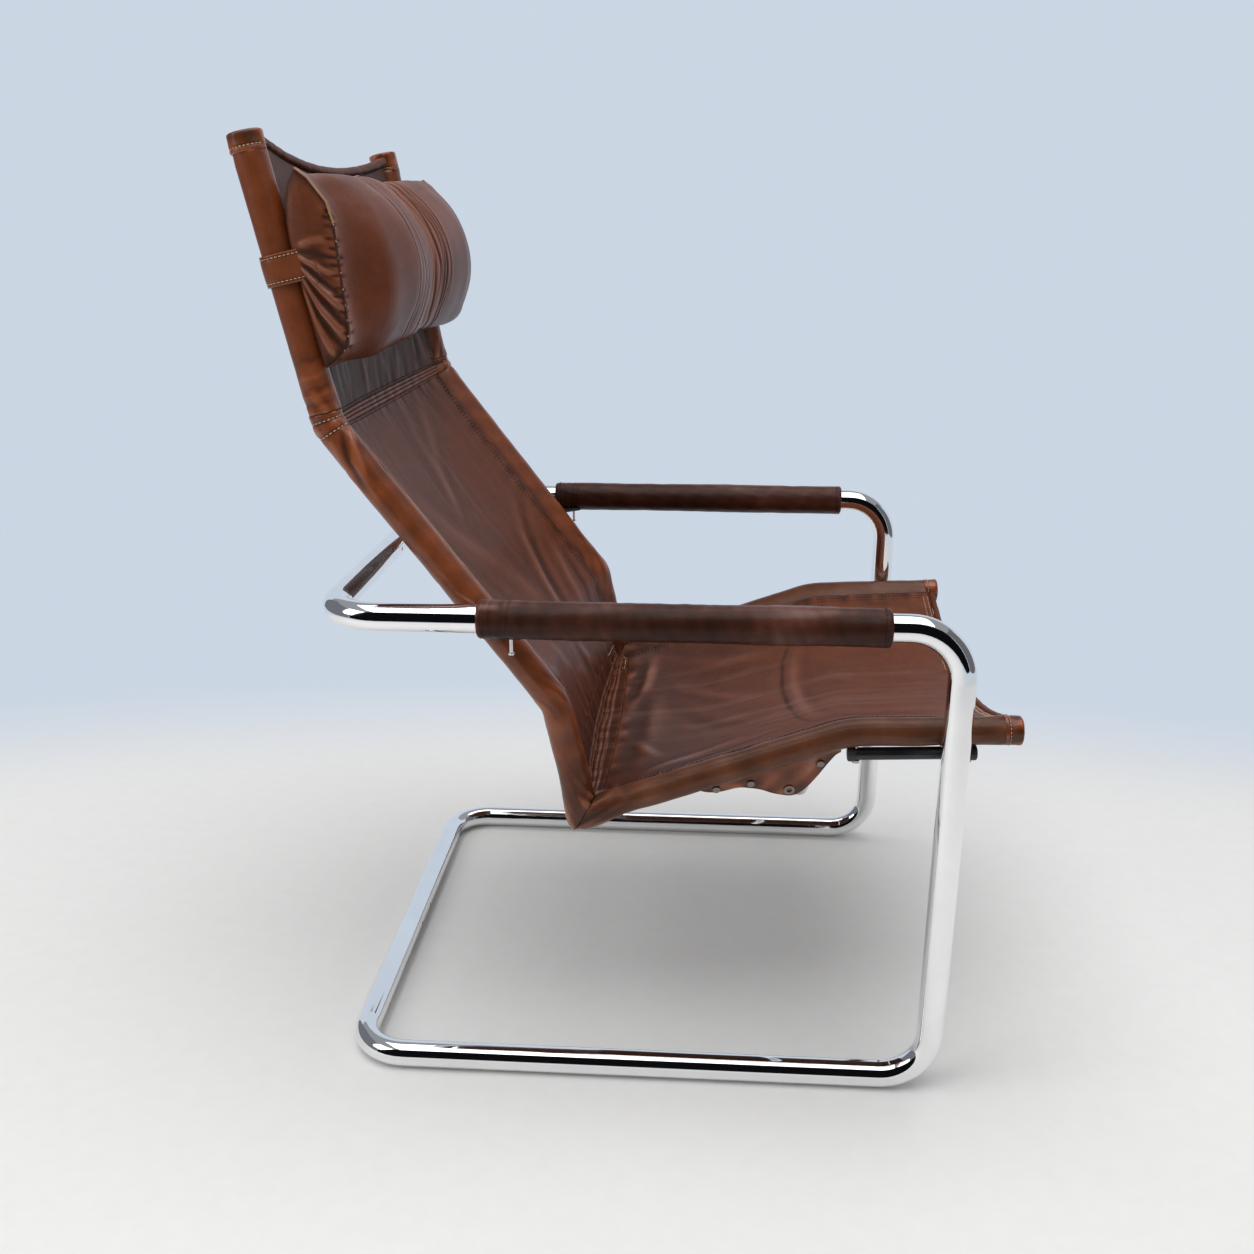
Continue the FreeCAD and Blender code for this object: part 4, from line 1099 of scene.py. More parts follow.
def dark_thread():
    return chair_thread("dark_brown_thread", "dark_thread_colour")


# Operators
class PieceOperator(bpy.types.Operator):
    bl_options = {"REGISTER"}

    def execute(self, context):
        self.build(context.scene.lounge_chair_leather)
        return {"FINISHED"}


class LOUNGE_CHAIR_OT_metalwork(PieceOperator):
    """Finish the chrome frame, the rails, brackets, carriers, screws, pins and studs"""

    bl_idname = "lounge_chair.metalwork"
    bl_label = "Metalwork"

    def build(self, chair):
        finish_node(both("frame_tube") + ["seat_cross_tube"], chrome_finish())
        finish_node(["base_joint_spigot", "arm_joint_spigot", "joint_screws", "carrier_screws",
                     "carrier_bolts"], metal_finish("zinc_steel", (0.5, 0.51, 0.52), 0.34))
        finish_node(both("rear_lock_pin"), metal_finish("bright_nickel", (0.78, 0.77, 0.75), 0.2))
        # Nickel darkened, in part as painted shade for the studs and eyelets under the seat
        finish_node(["press_studs", "flap_eyelets"], metal_finish("worn_nickel", (0.22, 0.20, 0.18), 0.42))
        finish_node(both("back_rail", "seat_rail"), coated_finish("rail_enamel", (0.03, 0.03, 0.032), 0.5))
        finish_node(both("carrier_bar", "carrier_spacer", "rear_bracket"),
                    coated_finish("black_enamel", (0.012, 0.012, 0.013), 0.32))
        finish_node(both("carrier_cap_rear", "carrier_cap_front", "top_plug", "front_plug"),
                    coated_finish("black_moulding", (0.016, 0.016, 0.017), 0.48, 0.5))
        finish_node(["carrier_inserts"], metal_finish("turned_brass", (0.62, 0.46, 0.2), 0.3))


class LOUNGE_CHAIR_OT_rail_sleeves(PieceOperator):
    """Make the leather sleeves on the back and seat rails"""

    bl_idname = "lounge_chair.rail_sleeves"
    bl_label = "Rail sleeves"

    def build(self, chair):
        depth = chair.fold_depth
        for side in SIDE_NAMES:
            sleeve_piece("upper_sleeve", side, BACK_LINE, CAP_LENGTH - 1, SLEEVE_JOINT, BACK_SLEEVE_R, 0.0,
                         upper_sleeve_folds(side), rail_leather(), depth)
            sleeve_piece("lower_sleeve", side, BACK_LINE, SLEEVE_JOINT + 0.6, BACK_LINE.length, BACK_SLEEVE_R,
                         0.0, lower_sleeve_folds(side), rail_leather(), depth, "end")
            sleeve_piece("seat_sleeve", side, SEAT_LINE, 0.0, SEAT_LINE.length - CAP_LENGTH + 1,
                         SEAT_SLEEVE_R, AT_APEX, seat_sleeve_folds(side), seat_sleeve_leather(), depth,
                         "start")


class LOUNGE_CHAIR_OT_end_caps(PieceOperator):
    """Make the sewn leather caps on the rails' ends"""

    bl_idname = "lounge_chair.end_caps"
    bl_label = "End caps"

    def build(self, chair):
        front_t = SEAT_LINE.tangent(np.array(SEAT_LINE.length))
        inward_front = vec(-front_t[0], 0, -front_t[1])
        paths = []
        for side, word in SIDE_NAMES.items():
            extra = LEFT_TOP_CAP_EXTRA if side == LEFT else 0.0
            top = on_back(-extra, 0, side * RAIL_Y)
            paths.append(self.cap("top_cap", word, top, -UP, BACK_SLEEVE_R + 0.7, CAP_LENGTH + extra,
                                  91 + side, chair))
            front = vec(RAIL_FRONT[0], side * RAIL_Y, RAIL_FRONT[1])
            paths.append(self.cap("front_cap", word, front, inward_front, SEAT_SLEEVE_R + 0.7, CAP_LENGTH,
                                  95 + side, chair))
        stitching("cap_stitching", paths, light_thread(), thread=0.42, pitch=4.2)

    def cap(self, stem, word, end, inward, radius, length, seed, chair):
        """One cap and the path of its stitches."""
        waves = Waves(seed, count=7, shortest=6, longest=22)
        dents = Waves(seed + 20, count=5, shortest=14, longest=40)
        seam = length - 4.5

        def folds(along, angle):
            gather = 0.30 * bell(along, 6) + 0.16 * bell(along - length, 4)
            raised = waves(angle * radius, along * 0.4) * gather + 0.35 * dents(angle * radius, along)
            return (raised - 0.7 * bell(along - seam, 1.1)) * chair.fold_depth
        along = np.arange(length + 0.4, 3.0, -1.2)
        bore = SLEEVE_BORE_R
        profile = [(3.4, 0.3), (3.4, 6.0), (3.4, bore), (length + 0.5, bore), (length + 0.6, radius - 1.0)]
        profile += [(float(a), radius - 0.5 * float(bell(a - length - 0.4, 1.0))) for a in along]
        profile += [(2.0, radius - 0.3), (1.0, radius - 1.1), (0.4, radius - 2.3), (0.1, radius - 4.2),
                    (0.3, radius - 7.0), (0.7, radius - 11.0), (0.9, 2.4), (0.9, 0.3)]
        lathe_piece(f"{stem}_leather_{word}", end, inward, profile, folds, rail_leather(), "rail_leather",
                    (f"{stem}_{word}",))
        axis, across, other = turned_frame(inward)
        angle = np.linspace(0, 2 * math.pi, 120)[:, None]
        outward = np.cos(angle) * across + np.sin(angle) * other
        return end + axis * seam + outward * (radius - 0.35), outward


class LOUNGE_CHAIR_OT_sling_panels(PieceOperator):
    """Make the leather panels, strips and hems of the seat and back"""

    bl_idname = "lounge_chair.sling_panels"
    bl_label = "Sling panels"

    def build(self, chair):
        depth = chair.fold_depth

        def bow(v):
            return TOP_HEM_BOW * (1 - v * v)
        sling_piece("upper_back_leather", 12.4, AT_LUMBAR - 6.0, upper_surface, "upper_back_panel",
                    upper_leather(), depth, top_edge=bow)
        sling_piece("lumbar_seam_leather", AT_LUMBAR - 6.0, AT_LUMBAR + 6.0, lumbar_surface,
                    "lumbar_seam_strip", sling_leather(), depth)
        sling_piece("lower_back_leather", AT_LUMBAR + 6.0, AT_APEX - 30.0, lower_surface, "lower_back_panel",
                    sling_leather(), depth)
        sling_piece("crease_leather", AT_APEX - 30.0, AT_APEX + 20.0, crease_surface, "crease_strip",
                    sling_leather(), depth)
        sling_piece("seat_leather", AT_APEX + 20.0, AT_FRONT - 16.0, seat_surface, "seat_panel",
                    sling_leather(), depth)
        self.hems(chair)

    def hems(self, chair):
        v = np.linspace(-1, 1, 180)
        top = on_back(6.5 + TOP_HEM_BOW * (1 - v * v), 4 - 10 * (1 - v * v), v * 244.5)
        self.hem("top_hem_leather", top, 5.5, "top_hem", chair, 101)
        front = sling_point(np.full(v.shape, AT_FRONT - 11.6), v)
        self.hem("front_hem_leather", front, 4.0, "front_hem", chair, 103)

    def hem(self, name, path, radius, node, chair, seed):
        sides = 20
        tangent = unit(np.gradient(path, axis=0))
        rise = unit(np.cross(tangent, vec(0, 0, 1)))
        angle = np.linspace(0, 2 * math.pi, sides, endpoint=False)
        waves = Waves(seed, 7, 9, 40)
        run = np.linspace(0, 490, len(path))[:, None]
        r = radius + 0.15 * waves(run, angle[None, :] * radius) * chair.fold_depth
        grid = path[:, None] + circles(rise, np.cross(tangent, rise), sides) * r[..., None]
        marks = {"ridge": np.clip(0.42 + (r - radius) / 3.0, 0, 1), "edge": np.zeros(r.size)}
        mesh_piece(name, grid, capped_faces(*r.shape), sling_leather(), slot="sling_leather",
                   replaces=(node,), marks=marks)


class LOUNGE_CHAIR_OT_arm_covers(PieceOperator):
    """Make the padded leather covers on the arms"""

    bl_idname = "lounge_chair.arm_covers"
    bl_label = "Arm covers"

    def build(self, chair):
        paths = []
        for side, word in SIDE_NAMES.items():
            shift = LEFT_PAD_SHIFT if side == LEFT else 0.0
            rear, front = ARM_PAD_ENDS[0] + shift, ARM_PAD_ENDS[1] + shift
            length = front - rear
            puckers = Waves(111 + side, 8, 10, 44)
            swell = Waves(121 + side, 6, 90, 260)
            rings = [(4.0, 1.6), (9.0, 1.8), (15.0, 1.5), (24.0, 1.6), (31.0, 1.2), (length - 6.0, 1.3)]

            def folds(along, angle):
                ends = bell(along - 12, 14) + bell(along - length, 7)
                total = 0.30 * swell(along, angle * 20) + 0.16 * puckers(along, angle * 20)
                total = total + 0.35 * puckers(angle * 26, along * 0.25) * ends
                for place, width in rings:
                    lean = 1.6 * np.sin(angle + place)
                    total = total - 0.55 * bell(along - place - lean, width)
                return total * chair.fold_depth
            inner = TUBE_R + 0.2
            along = np.linspace(1.0, length - 1.0, 200)
            profile = [(2.2, inner), (length - 2.2, inner), (length - 0.8, inner + 0.9)]
            profile += [(length, inner + 2.6)]
            profile += [(float(a), ARM_PAD_R - 1.5 * float(bell(a - length, 1.6)) - 1.5 * float(bell(a, 1.6)))
                        for a in along[::-1]]
            profile += [(0.0, inner + 2.6), (0.8, inner + 0.9)]
            piece = self.cover(word, vec(rear, side * ARM_Y, ARM_Z), profile, folds)
            angle = np.linspace(0, 2 * math.pi, 140)[:, None]
            outward = vec(0, 1, 0) * np.cos(angle) + vec(0, 0, 1) * np.sin(angle)
            for place in (6.5, length - 6.5):
                paths.append((vec(rear + place, side * ARM_Y, ARM_Z) + outward * (ARM_PAD_R - 0.25), outward))
        stitching("arm_stitching", paths, dark_thread(), thread=0.4, pitch=4.0)

    def cover(self, word, origin, profile, folds):
        """A leather tube with its ends turned in round the chrome tube."""
        angle = np.linspace(0, 2 * math.pi, 64, endpoint=False)[None, :]
        along, radius = [vec(*values)[:, None] for values in zip(*profile)]
        raised = folds(along, angle) * smooth(radius, TUBE_R + 1.0, ARM_PAD_R - 1)
        r = radius + raised
        grid = origin + lift(np.stack([along + 0 * angle, r * np.sin(angle)], axis=-1), r * np.cos(angle))
        # Painted highlight: a lighter band along the top of the cover
        painted_top_highlight = 0.22 * bell((angle - 1.75 + math.pi) % (2 * math.pi) - math.pi, 0.5)
        marks = {"ridge": np.clip(0.45 + raised / 3.0 + painted_top_highlight, 0, 1), "edge": np.zeros(r.size)}
        hidden = (f"arm_cover_{word}", f"arm_padding_{word}")
        return mesh_piece(f"arm_cover_leather_{word}", grid, looped_faces(*r.shape), arm_leather(),
                          slot="arm_leather", replaces=hidden, marks=marks)


# Lower edge of a flap in the side plane
FLAP_EDGE = [(54, 346), (66, 340), (78, 338), (92, 341), (106, 345), (122, 344), (136, 339), (150, 333.5),
             (163, 332), (175, 338), (185, 350), (193, 362), (199, 374), (205, 384), (214, 395)]


class LOUNGE_CHAIR_OT_under_flaps(PieceOperator):
    """Make the leather flaps that hang under the seat rails"""

    bl_idname = "lounge_chair.under_flaps"
    bl_label = "Under-seat flaps"

    def build(self, chair):
        edge = np.array(FLAP_EDGE, float)
        x = np.linspace(edge[0, 0], edge[-1, 0], 90)
        low = np.interp(x, edge[:, 0], edge[:, 1])
        low = np.convolve(np.pad(low, 3, mode="edge"), np.ones(7) / 7, "valid")
        slope = SEAT_START_T[1] / SEAT_START_T[0]
        top = APEX[1] + (x - APEX[0]) * slope - 11.0
        top = np.maximum(top, low + 1.0)
        waves = Waves(131, 7, 16, 60)
        turned_in, upright = math.sin(FLAP_TILT), math.cos(FLAP_TILT)
        for side, word in SIDE_NAMES.items():
            share = np.linspace(0, 1, 22)[None, :]
            z = top[:, None] * (1 - share) + low[:, None] * share
            xx = x[:, None] + 0 * share
            ripple = 0.9 * waves(xx, z + side * 40) * share * chair.fold_depth
            base = APEX[1] - SEAT_SLEEVE_R + (xx - APEX[0]) * slope
            drop = (base - z) * math.cos(math.atan(slope))
            height = base - (base - z) * upright
            hanging = FLAP_Y - 1.3 - drop * turned_in - ripple
            over_tube = CROSS_TUBE_HALF + CROSS_TUBE_LEAN * (height - CROSS_TUBE_Z)
            over_tube = over_tube + 13.8 * bell(xx - CROSS_TUBE_X, 16.0)
            across = (hanging + over_tube + np.hypot(hanging - over_tube, 1.2)) / 2
            grid = np.stack([xx + drop * (1 - upright) * -0.3, -across, height], axis=-1)
            if side == LEFT:
                grid = grid * vec(1, -1, 1)
            points, faces = sheet_solid(grid, FLAP_THICKNESS)
            ridge = np.tile(np.clip(0.5 + ripple / 2.0, 0, 1).ravel(), 2)
            rim = np.tile(smooth(share + 0 * z, 0.9, 1.0).ravel(), 2)
            piece = mesh_piece(f"flap_leather_{word}", points, faces, rail_leather(), slot="rail_leather",
                               replaces=(f"under_flap_{word}",), marks={"ridge": ridge, "edge": rim})


def arc_through(a, b, c, count):
    """Points on the circle arc from a through b to c, in a plane."""
    a, b, c = vec(*a), vec(*b), vec(*c)
    d = 2 * ((a[0] - c[0]) * (b[1] - c[1]) - (b[0] - c[0]) * (a[1] - c[1]))
    sa, sb, sc = a @ a, b @ b, c @ c
    centre = vec(((sa - sc) * (b[1] - c[1]) - (sb - sc) * (a[1] - c[1])) / d,
                 ((sb - sc) * (a[0] - c[0]) - (sa - sc) * (b[0] - c[0])) / d)
    start, mid, end = [math.atan2(*(p - centre)[::-1]) for p in (a, b, c)]
    forward = (end - start) % (2 * math.pi)
    if (mid - start) % (2 * math.pi) > forward:
        forward -= 2 * math.pi
    angle = start + forward * np.linspace(0, 1, count)
    radius = np.linalg.norm(a - centre)
    return centre + radius * np.c_[np.cos(angle), np.sin(angle)]


def even_points(outline, count):
    """That many points at even steps along an open outline, without its last."""
    outline = np.array(outline, float)
    run = np.r_[0, np.cumsum(np.linalg.norm(np.diff(outline, axis=0), axis=1))]
    at = np.linspace(0, run[-1], count + 1)[:-1]
    return np.c_[np.interp(at, run, outline[:, 0]), np.interp(at, run, outline[:, 1])]


class LOUNGE_CHAIR_OT_headrest_cushion(PieceOperator):
    """Make the headrest cushion: a stuffed cover with a gathered middle and flat sewn ends"""

    bl_idname = "lounge_chair.headrest_cushion"
    bl_label = "Headrest cushion"

    def section(self, y, shrink=0.0):
        """Outline of the cushion across the chair at y: distance down the back and forward of it."""
        table = [(-a, *rest) for a, *rest in CUSHION_SECTIONS]
        table += [(a, *rest) for a, *rest in CUSHION_SECTIONS[-2::-1]]
        at, top_in, low_in, swell = zip(*table)
        top_in, low_in, swell = [float(np.interp(y, at, values)) for values in (top_in, low_in, swell)]
        rise = LEFT_END_LIFT * (y / CUSHION_SECTIONS[0][0] + 1) / 2
        top = HEADREST_TOP + top_in - rise + shrink
        low = HEADREST_BOTTOM - low_in - rise - shrink
        height, depth = low - top, swell - 2 * shrink
        shoulder = height * 0.11
        middle = (top + low) / 2
        corner = 12.0
        waist, brow = depth * 0.26, depth * 0.66
        rear = np.c_[np.linspace(top + corner, low - corner, 56)[:-1], np.full(55, 0.0)]
        under = arc_through((low - corner, 0), (low, waist), (low - shoulder, brow), 26)[:-1]
        face = arc_through((low - shoulder, brow), (middle, depth), (top + shoulder, brow), 76)[:-1]
        over = arc_through((top + shoulder, brow), (top, waist), (top + corner, 0), 26)[:-1]
        ring = np.concatenate([rear, under, face, over])
        for _ in range(3):
            ring = (np.roll(ring, 1, axis=0) + 2 * ring + np.roll(ring, -1, axis=0)) / 4
        share = float(smooth(abs(y), 205.0, END_SEAM)) ** 1.3
        ring = ring * (1 - share) + self.end_panel(ring, rise, shrink) * share
        ring[:, 1] += shrink
        return ring

    def end_panel(self, ring, rise, shrink):
        """The pointed outline of the cushion's end, point for point with the ring that it blends into."""
        top, low, count = int(np.argmin(ring[:, 0])), int(np.argmax(ring[:, 0])), len(ring)
        rear = even_points(END_REAR, (low - top) % count)
        front = even_points(END_FRONT, (top - low) % count)
        panel = np.roll(np.concatenate([rear, front]), top, axis=0)
        centre = panel.mean(axis=0)
        return centre + (panel - centre) * (1 - shrink / 45.0) - vec(rise, shrink)

    def form(self, step, shrink=0.0):
        """The plain cushion as rings of points from its right end to its left, with both ends closed."""
        half = CUSHION_SECTIONS[0][0] - shrink
        y = np.linspace(-half, half, int(2 * half / step) + 1)
        rings = np.array([self.section(value, shrink) for value in y])
        ends = np.linspace(1, 0, 31)[1:] ** 0.8
        heart = rings.mean(axis=1)
        first = [heart[0] + (rings[0] - heart[0]) * k for k in ends[::-1]]
        last = [heart[-1] + (rings[-1] - heart[-1]) * k for k in ends]
        crown = 7.0 * (1 - ends ** 2)
        rings = np.concatenate([first, rings, last])
        where = np.concatenate([-half - crown[::-1], y, half + crown])
        down, forward = rings[..., 0], rings[..., 1]
        across = where[:, None] + 0 * down
        return on_back(down, HEADREST_BACK + forward, across), down, forward, across, len(first)

    def closed(self, name, grid, finish, **extra):
        faces = grid_quads(*grid.shape[:2], around=True)
        return mesh_piece(name, grid, faces, finish, **extra)

    def build(self, chair):
        grid, down, forward, y, cap = self.form(1.4)
        grid = self.stuffed(grid)
        girth = np.roll(grid, -1, axis=1) - np.roll(grid, 1, axis=1)
        normal = unit(np.cross(girth, np.gradient(grid, axis=0)))
        if ((grid - grid.mean(axis=(0, 1))) * normal).sum() < 0:
            normal = -normal
        raised = self.folds(down, forward, y) * chair.fold_depth
        front = smooth(forward, 1.0, 10.0)
        grid = grid + normal * (raised * (0.15 + 0.85 * front))[..., None]
        ridge = relief(raised, 1.2)
        edge = bell(np.abs(y) - 283.0, 3.0) * front
        piece = self.closed("headrest_cushion", grid, headrest_leather(), body="headrest",
                            slot="headrest_leather", replaces=("headrest_cover", "headrest_filling"),
                            marks={"ridge": ridge, "edge": edge})
        self.seams(grid, normal, down, cap)

    def stuffed(self, grid):
        """Run a cloth pass on a remeshed copy and bring its form back to the cushion's own points."""
        sizes = bpy.context.scene.lounge_chair_headrest
        copy, *_ = self.form(5.0, shrink=1.0)
        blank = self.closed("cushion_blank", copy, headrest_leather())
        bpy.context.view_layer.objects.active = blank
        blank.select_set(True)
        remesh = blank.modifiers.new("remesh", "REMESH")
        remesh.mode = "VOXEL"
        remesh.voxel_size = sizes.voxel
        bpy.ops.object.modifier_apply(modifier=remesh.name)
        start = self.points_of(blank.data)
        forward, across = self.local(start * 1000.0)
        held = np.maximum(bell(across, 9.0), bell(np.abs(across) - 280.0, 5.0) * smooth(forward, 8.0, 16.0))
        held = np.maximum(held, smooth(forward, 8.0, 3.0))
        pins = blank.vertex_groups.new(name="sewn")
        for index, weight in enumerate(held):
            pins.add([index], float(weight), "REPLACE")
        cloth = blank.modifiers.new("cloth", "CLOTH")
        cloth.settings.vertex_group_mass = pins.name
        cloth.settings.use_pressure = True
        cloth.settings.uniform_pressure_force = sizes.pressure
        cloth.settings.effector_weights.gravity = 0.0
        cloth.settings.quality = 6
        cloth.point_cache.frame_start = 1
        cloth.point_cache.frame_end = 20
        for frame_number in range(1, 21):
            bpy.context.scene.frame_set(frame_number)
        depsgraph = bpy.context.evaluated_depsgraph_get()
        after = self.points_of(blank.evaluated_get(depsgraph).to_mesh())
        moved = after - start
        reach = np.linalg.norm(moved, axis=1, keepdims=True)
        after = start + moved * np.minimum(1.0, sizes.swell_limit / np.maximum(reach, 1e-9))
        faces = [tuple(face.vertices) for face in blank.data.polygons]
        tree = BVHTree.FromPolygons([Vector(p) for p in after], faces)
        bpy.context.scene.frame_set(1)
        bpy.data.objects.remove(blank)
        found = []
        for point in (grid.reshape(-1, 3) * 0.001).tolist():
            place, *_ = tree.find_nearest(Vector(point))
            found.append(tuple(place))
        target = np.array(found).reshape(grid.shape) * 1000.0
        sewn = smooth(np.abs(grid[..., 1]), 235.0, 276.0)
        shift = (target - grid) * (1 - sewn)[..., None]
        for _ in range(6):
            shift[1:-1] = (shift[:-2] + 2 * shift[1:-1] + shift[2:]) / 4
            shift = (np.roll(shift, 1, axis=1) + 2 * shift + np.roll(shift, -1, axis=1)) / 4
        return grid + shift

    def points_of(self, mesh):
        co = np.zeros(len(mesh.vertices) * 3, np.float32)
        mesh.vertices.foreach_get("co", co)
        return co.reshape(-1, 3).astype(float)

    def local(self, points):
        """Distance forward of the cushion's rear face, and across."""
        rel = points - vec(RAIL_TOP[0], 0, RAIL_TOP[1])
        return rel @ FORWARD - HEADREST_BACK, points[:, 1]

    def folds(self, down, forward, y):
        """The pleats drawn in at the middle, the puckers along the end seams and the fans on the ends."""
        draw = np.random.default_rng(141)
        around = np.arctan2(forward - 30.0, down - 141.0)
        drift = Waves(142, 5, 1.4, 4.5)
        total = -4.4 * bell(y - 2.0 * drift(around), 2.4) - 1.2 * bell(y, 12.0)
        place = -142.0
        while place < 56.0:
            near = math.exp(-abs(place + 34) / 70.0)
            height = draw.uniform(0.8, 1.9) * (0.8 + 0.5 * near)
            wobble = 1.6 * drift(around * 1.3 + place, place * 0.05)
            strength = 0.6 + 0.4 * np.sin(around * draw.uniform(1.0, 3.0) + draw.uniform(0, 6))
            total = total - height * strength * bell(y - place - wobble, draw.uniform(1.5, 2.5))
            place += draw.uniform(5.0, 8.5)
        total = total + 0.6 * Waves(143, 8, 60, 170)(y, down)
        gap = END_SEAM - np.abs(y)
        on_end = smooth(gap, 2.0, -1.0)
        puckers, end_puckers = [], []
        for place in np.arange(88.0, 224.0, 9.0):
            place = place + draw.uniform(-3.5, 3.5)
            reach = draw.uniform(7.0, 16.0)
            line = [(place, -3.0), (place + draw.uniform(-4, 4), reach)]
            puckers.append((line, 1.5, draw.uniform(-1.6, -0.7)))
            edge = 47.0 - 0.12 * (place - 99.0)
            line = [(place, edge), (place - 3.0, edge - reach * 0.7)]
            end_puckers.append((line, 1.4, draw.uniform(-1.3, -0.5)))
        total = total + fold_height(down + 0 * y, gap, puckers) * (1 - on_end) * smooth(forward, 6.0, 16.0)
        ends = fold_height(down + 0 * y, forward + 0 * y, END_FOLDS + end_puckers)
        total = total * (1 - on_end) + on_end * ends
        return total - 1.3 * bell(gap - 0.5, 1.6)

    def seams(self, grid, normal, down, cap):
        """Piping on the upper part of each end seam, and stitches on the rest."""
        light, dark = [], []
        for row, word in ((cap, "right"), (len(grid) - cap - 1, "left")):
            ring = down[row]
            front = np.arange(int(np.argmax(ring)), int(np.argmin(ring)) + 1)
            piped = front[ring[front] < 101.0]
            sewn = front[ring[front] >= 99.0]
            path = grid[row] + normal[row] * 0.5
            piping(f"headrest_piping_{word}", path[piped], 1.0, light_piping(), "headrest",
                   "headrest_leather")
            dark.append((path[sewn], normal[row, sewn]))
            light.append((path[sewn[::-1]] - normal[row, sewn[::-1]] * 0.1, normal[row, sewn[::-1]]))
        stitching("headrest_seam_stitching", dark, dark_thread(), body="headrest", thread=0.6, pitch=3.2)
        stitching("headrest_light_stitching", light, light_thread(), body="headrest", thread=0.5, pitch=15.0,
                  share=0.16)


# Folds on the cushion's end panels fan out from the strap: (down, forward)
END_FOLDS = [
    ([(122, 4), (134, 20), (150, 38)], 3.0, 2.2),
    ([(126, 4), (144, 18), (166, 36)], 2.6, -2.6),
    ([(130, 4), (152, 17), (180, 35)], 2.8, 2.8),
    ([(134, 3), (162, 15), (196, 33)], 2.6, -3.0),
    ([(138, 3), (172, 13), (206, 29)], 2.8, 3.0),
    ([(142, 2), (182, 10), (214, 24)], 2.6, -2.8),
    ([(146, 2), (192, 7), (224, 14)], 2.8, 2.2),
    ([(118, 6), (124, 22), (132, 40)], 2.6, -1.4),
    ([(114, 8), (112, 24), (114, 42)], 3.0, 1.0),
]


class LOUNGE_CHAIR_OT_headrest_straps(PieceOperator):
    """Make the straps and the elastic band that hold the headrest on the rails"""

    bl_idname = "lounge_chair.headrest_straps"
    bl_label = "Headrest straps"

    def build(self, chair):
        reach = BACK_SLEEVE_R + STRAP_CLEARANCE + STRAP_THICKNESS / 2
        half = STRAP_WIDTH / 2
        threads = []
        for side, word in SIDE_NAMES.items():
            angle = np.linspace(0, math.pi / 2, 16)
            outer_y = RAIL_Y + reach
            run = [(HEADREST_BACK + 8.0 - k, outer_y) for k in np.linspace(0, HEADREST_BACK + 8.0, 12)[:-1]]
            run += [(-reach * math.sin(a), RAIL_Y + reach * math.cos(a)) for a in angle]
            run += [(-reach, y) for y in np.linspace(RAIL_Y, 226.0, 14)[1:]]
            run = np.array(run)
            tangent = unit(np.gradient(run, axis=0))
            outward = np.c_[-tangent[:, 1], tangent[:, 0]]
            if outward[0, 1] < 0:
                outward = -outward
            across = np.linspace(-1, 1, 17)[None, :]
            bulge = 0.5 * (1 - across ** 2) - 0.5 * bell(np.abs(across) - 0.78, 0.09)
            middle = STRAP_TOP + half
            place = run[:, None] + outward[:, None] * bulge[..., None]
            grid = on_back(middle + across * half + 0 * place[..., 0], place[..., 0], side * place[..., 1])
            points, faces = sheet_solid(grid, STRAP_THICKNESS)
            # Painted highlight on the strap's raised middle
            ridge = np.tile(np.clip(0.36 + 0.3 * bulge + 0 * place[..., 0], 0, 1).ravel(), 2)
            edge = np.tile(smooth(np.abs(across) + 0 * place[..., 0], 0.88, 1.0).ravel() * -0.9, 2)
            mesh_piece(f"headrest_strap_leather_{word}", points, faces, rail_leather(), body="headrest",
                       slot="headrest_leather", replaces=(f"headrest_strap_{word}",),
                       marks={"ridge": ridge, "edge": edge})
            for row in (-0.78, 0.78):
                line = run + outward * (STRAP_THICKNESS / 2 - 0.05)
                normals = np.stack([outward[:, 0], side * outward[:, 1]], axis=-1)
                path = on_back(middle + row * half, line[:, 0], side * line[:, 1])
                facing = FORWARD * normals[:, :1] + vec(0, 1, 0) * normals[:, 1:]
                threads.append((path, facing))
        stitching("strap_stitching", threads, light_thread(), body="headrest", thread=0.42, pitch=4.4)
        self.band()

    def band(self):
        depth = -(BACK_SLEEVE_R + STRAP_CLEARANCE + STRAP_THICKNESS)
        y = np.linspace(-248.0, 248.0, 160)[:, None]
        down = STRAP_TOP + 1 + np.linspace(0, STRAP_WIDTH - 2, 13)[None, :]
        ribs = 0.25 * np.cos(np.linspace(0, 12 * math.pi, 13))[None, :] + 0 * y
        grid = on_back(down + 0 * y, depth - 1.0 + ribs, y + 0 * down)
        points, faces = sheet_solid(grid, 2.0)
        weave = woven_finish("woven_elastic", (0.06, 0.032, 0.022))
        mesh_piece("headrest_elastic_band", points, faces, weave, body="headrest", slot="elastic",
                   replaces=("headrest_back_band",))


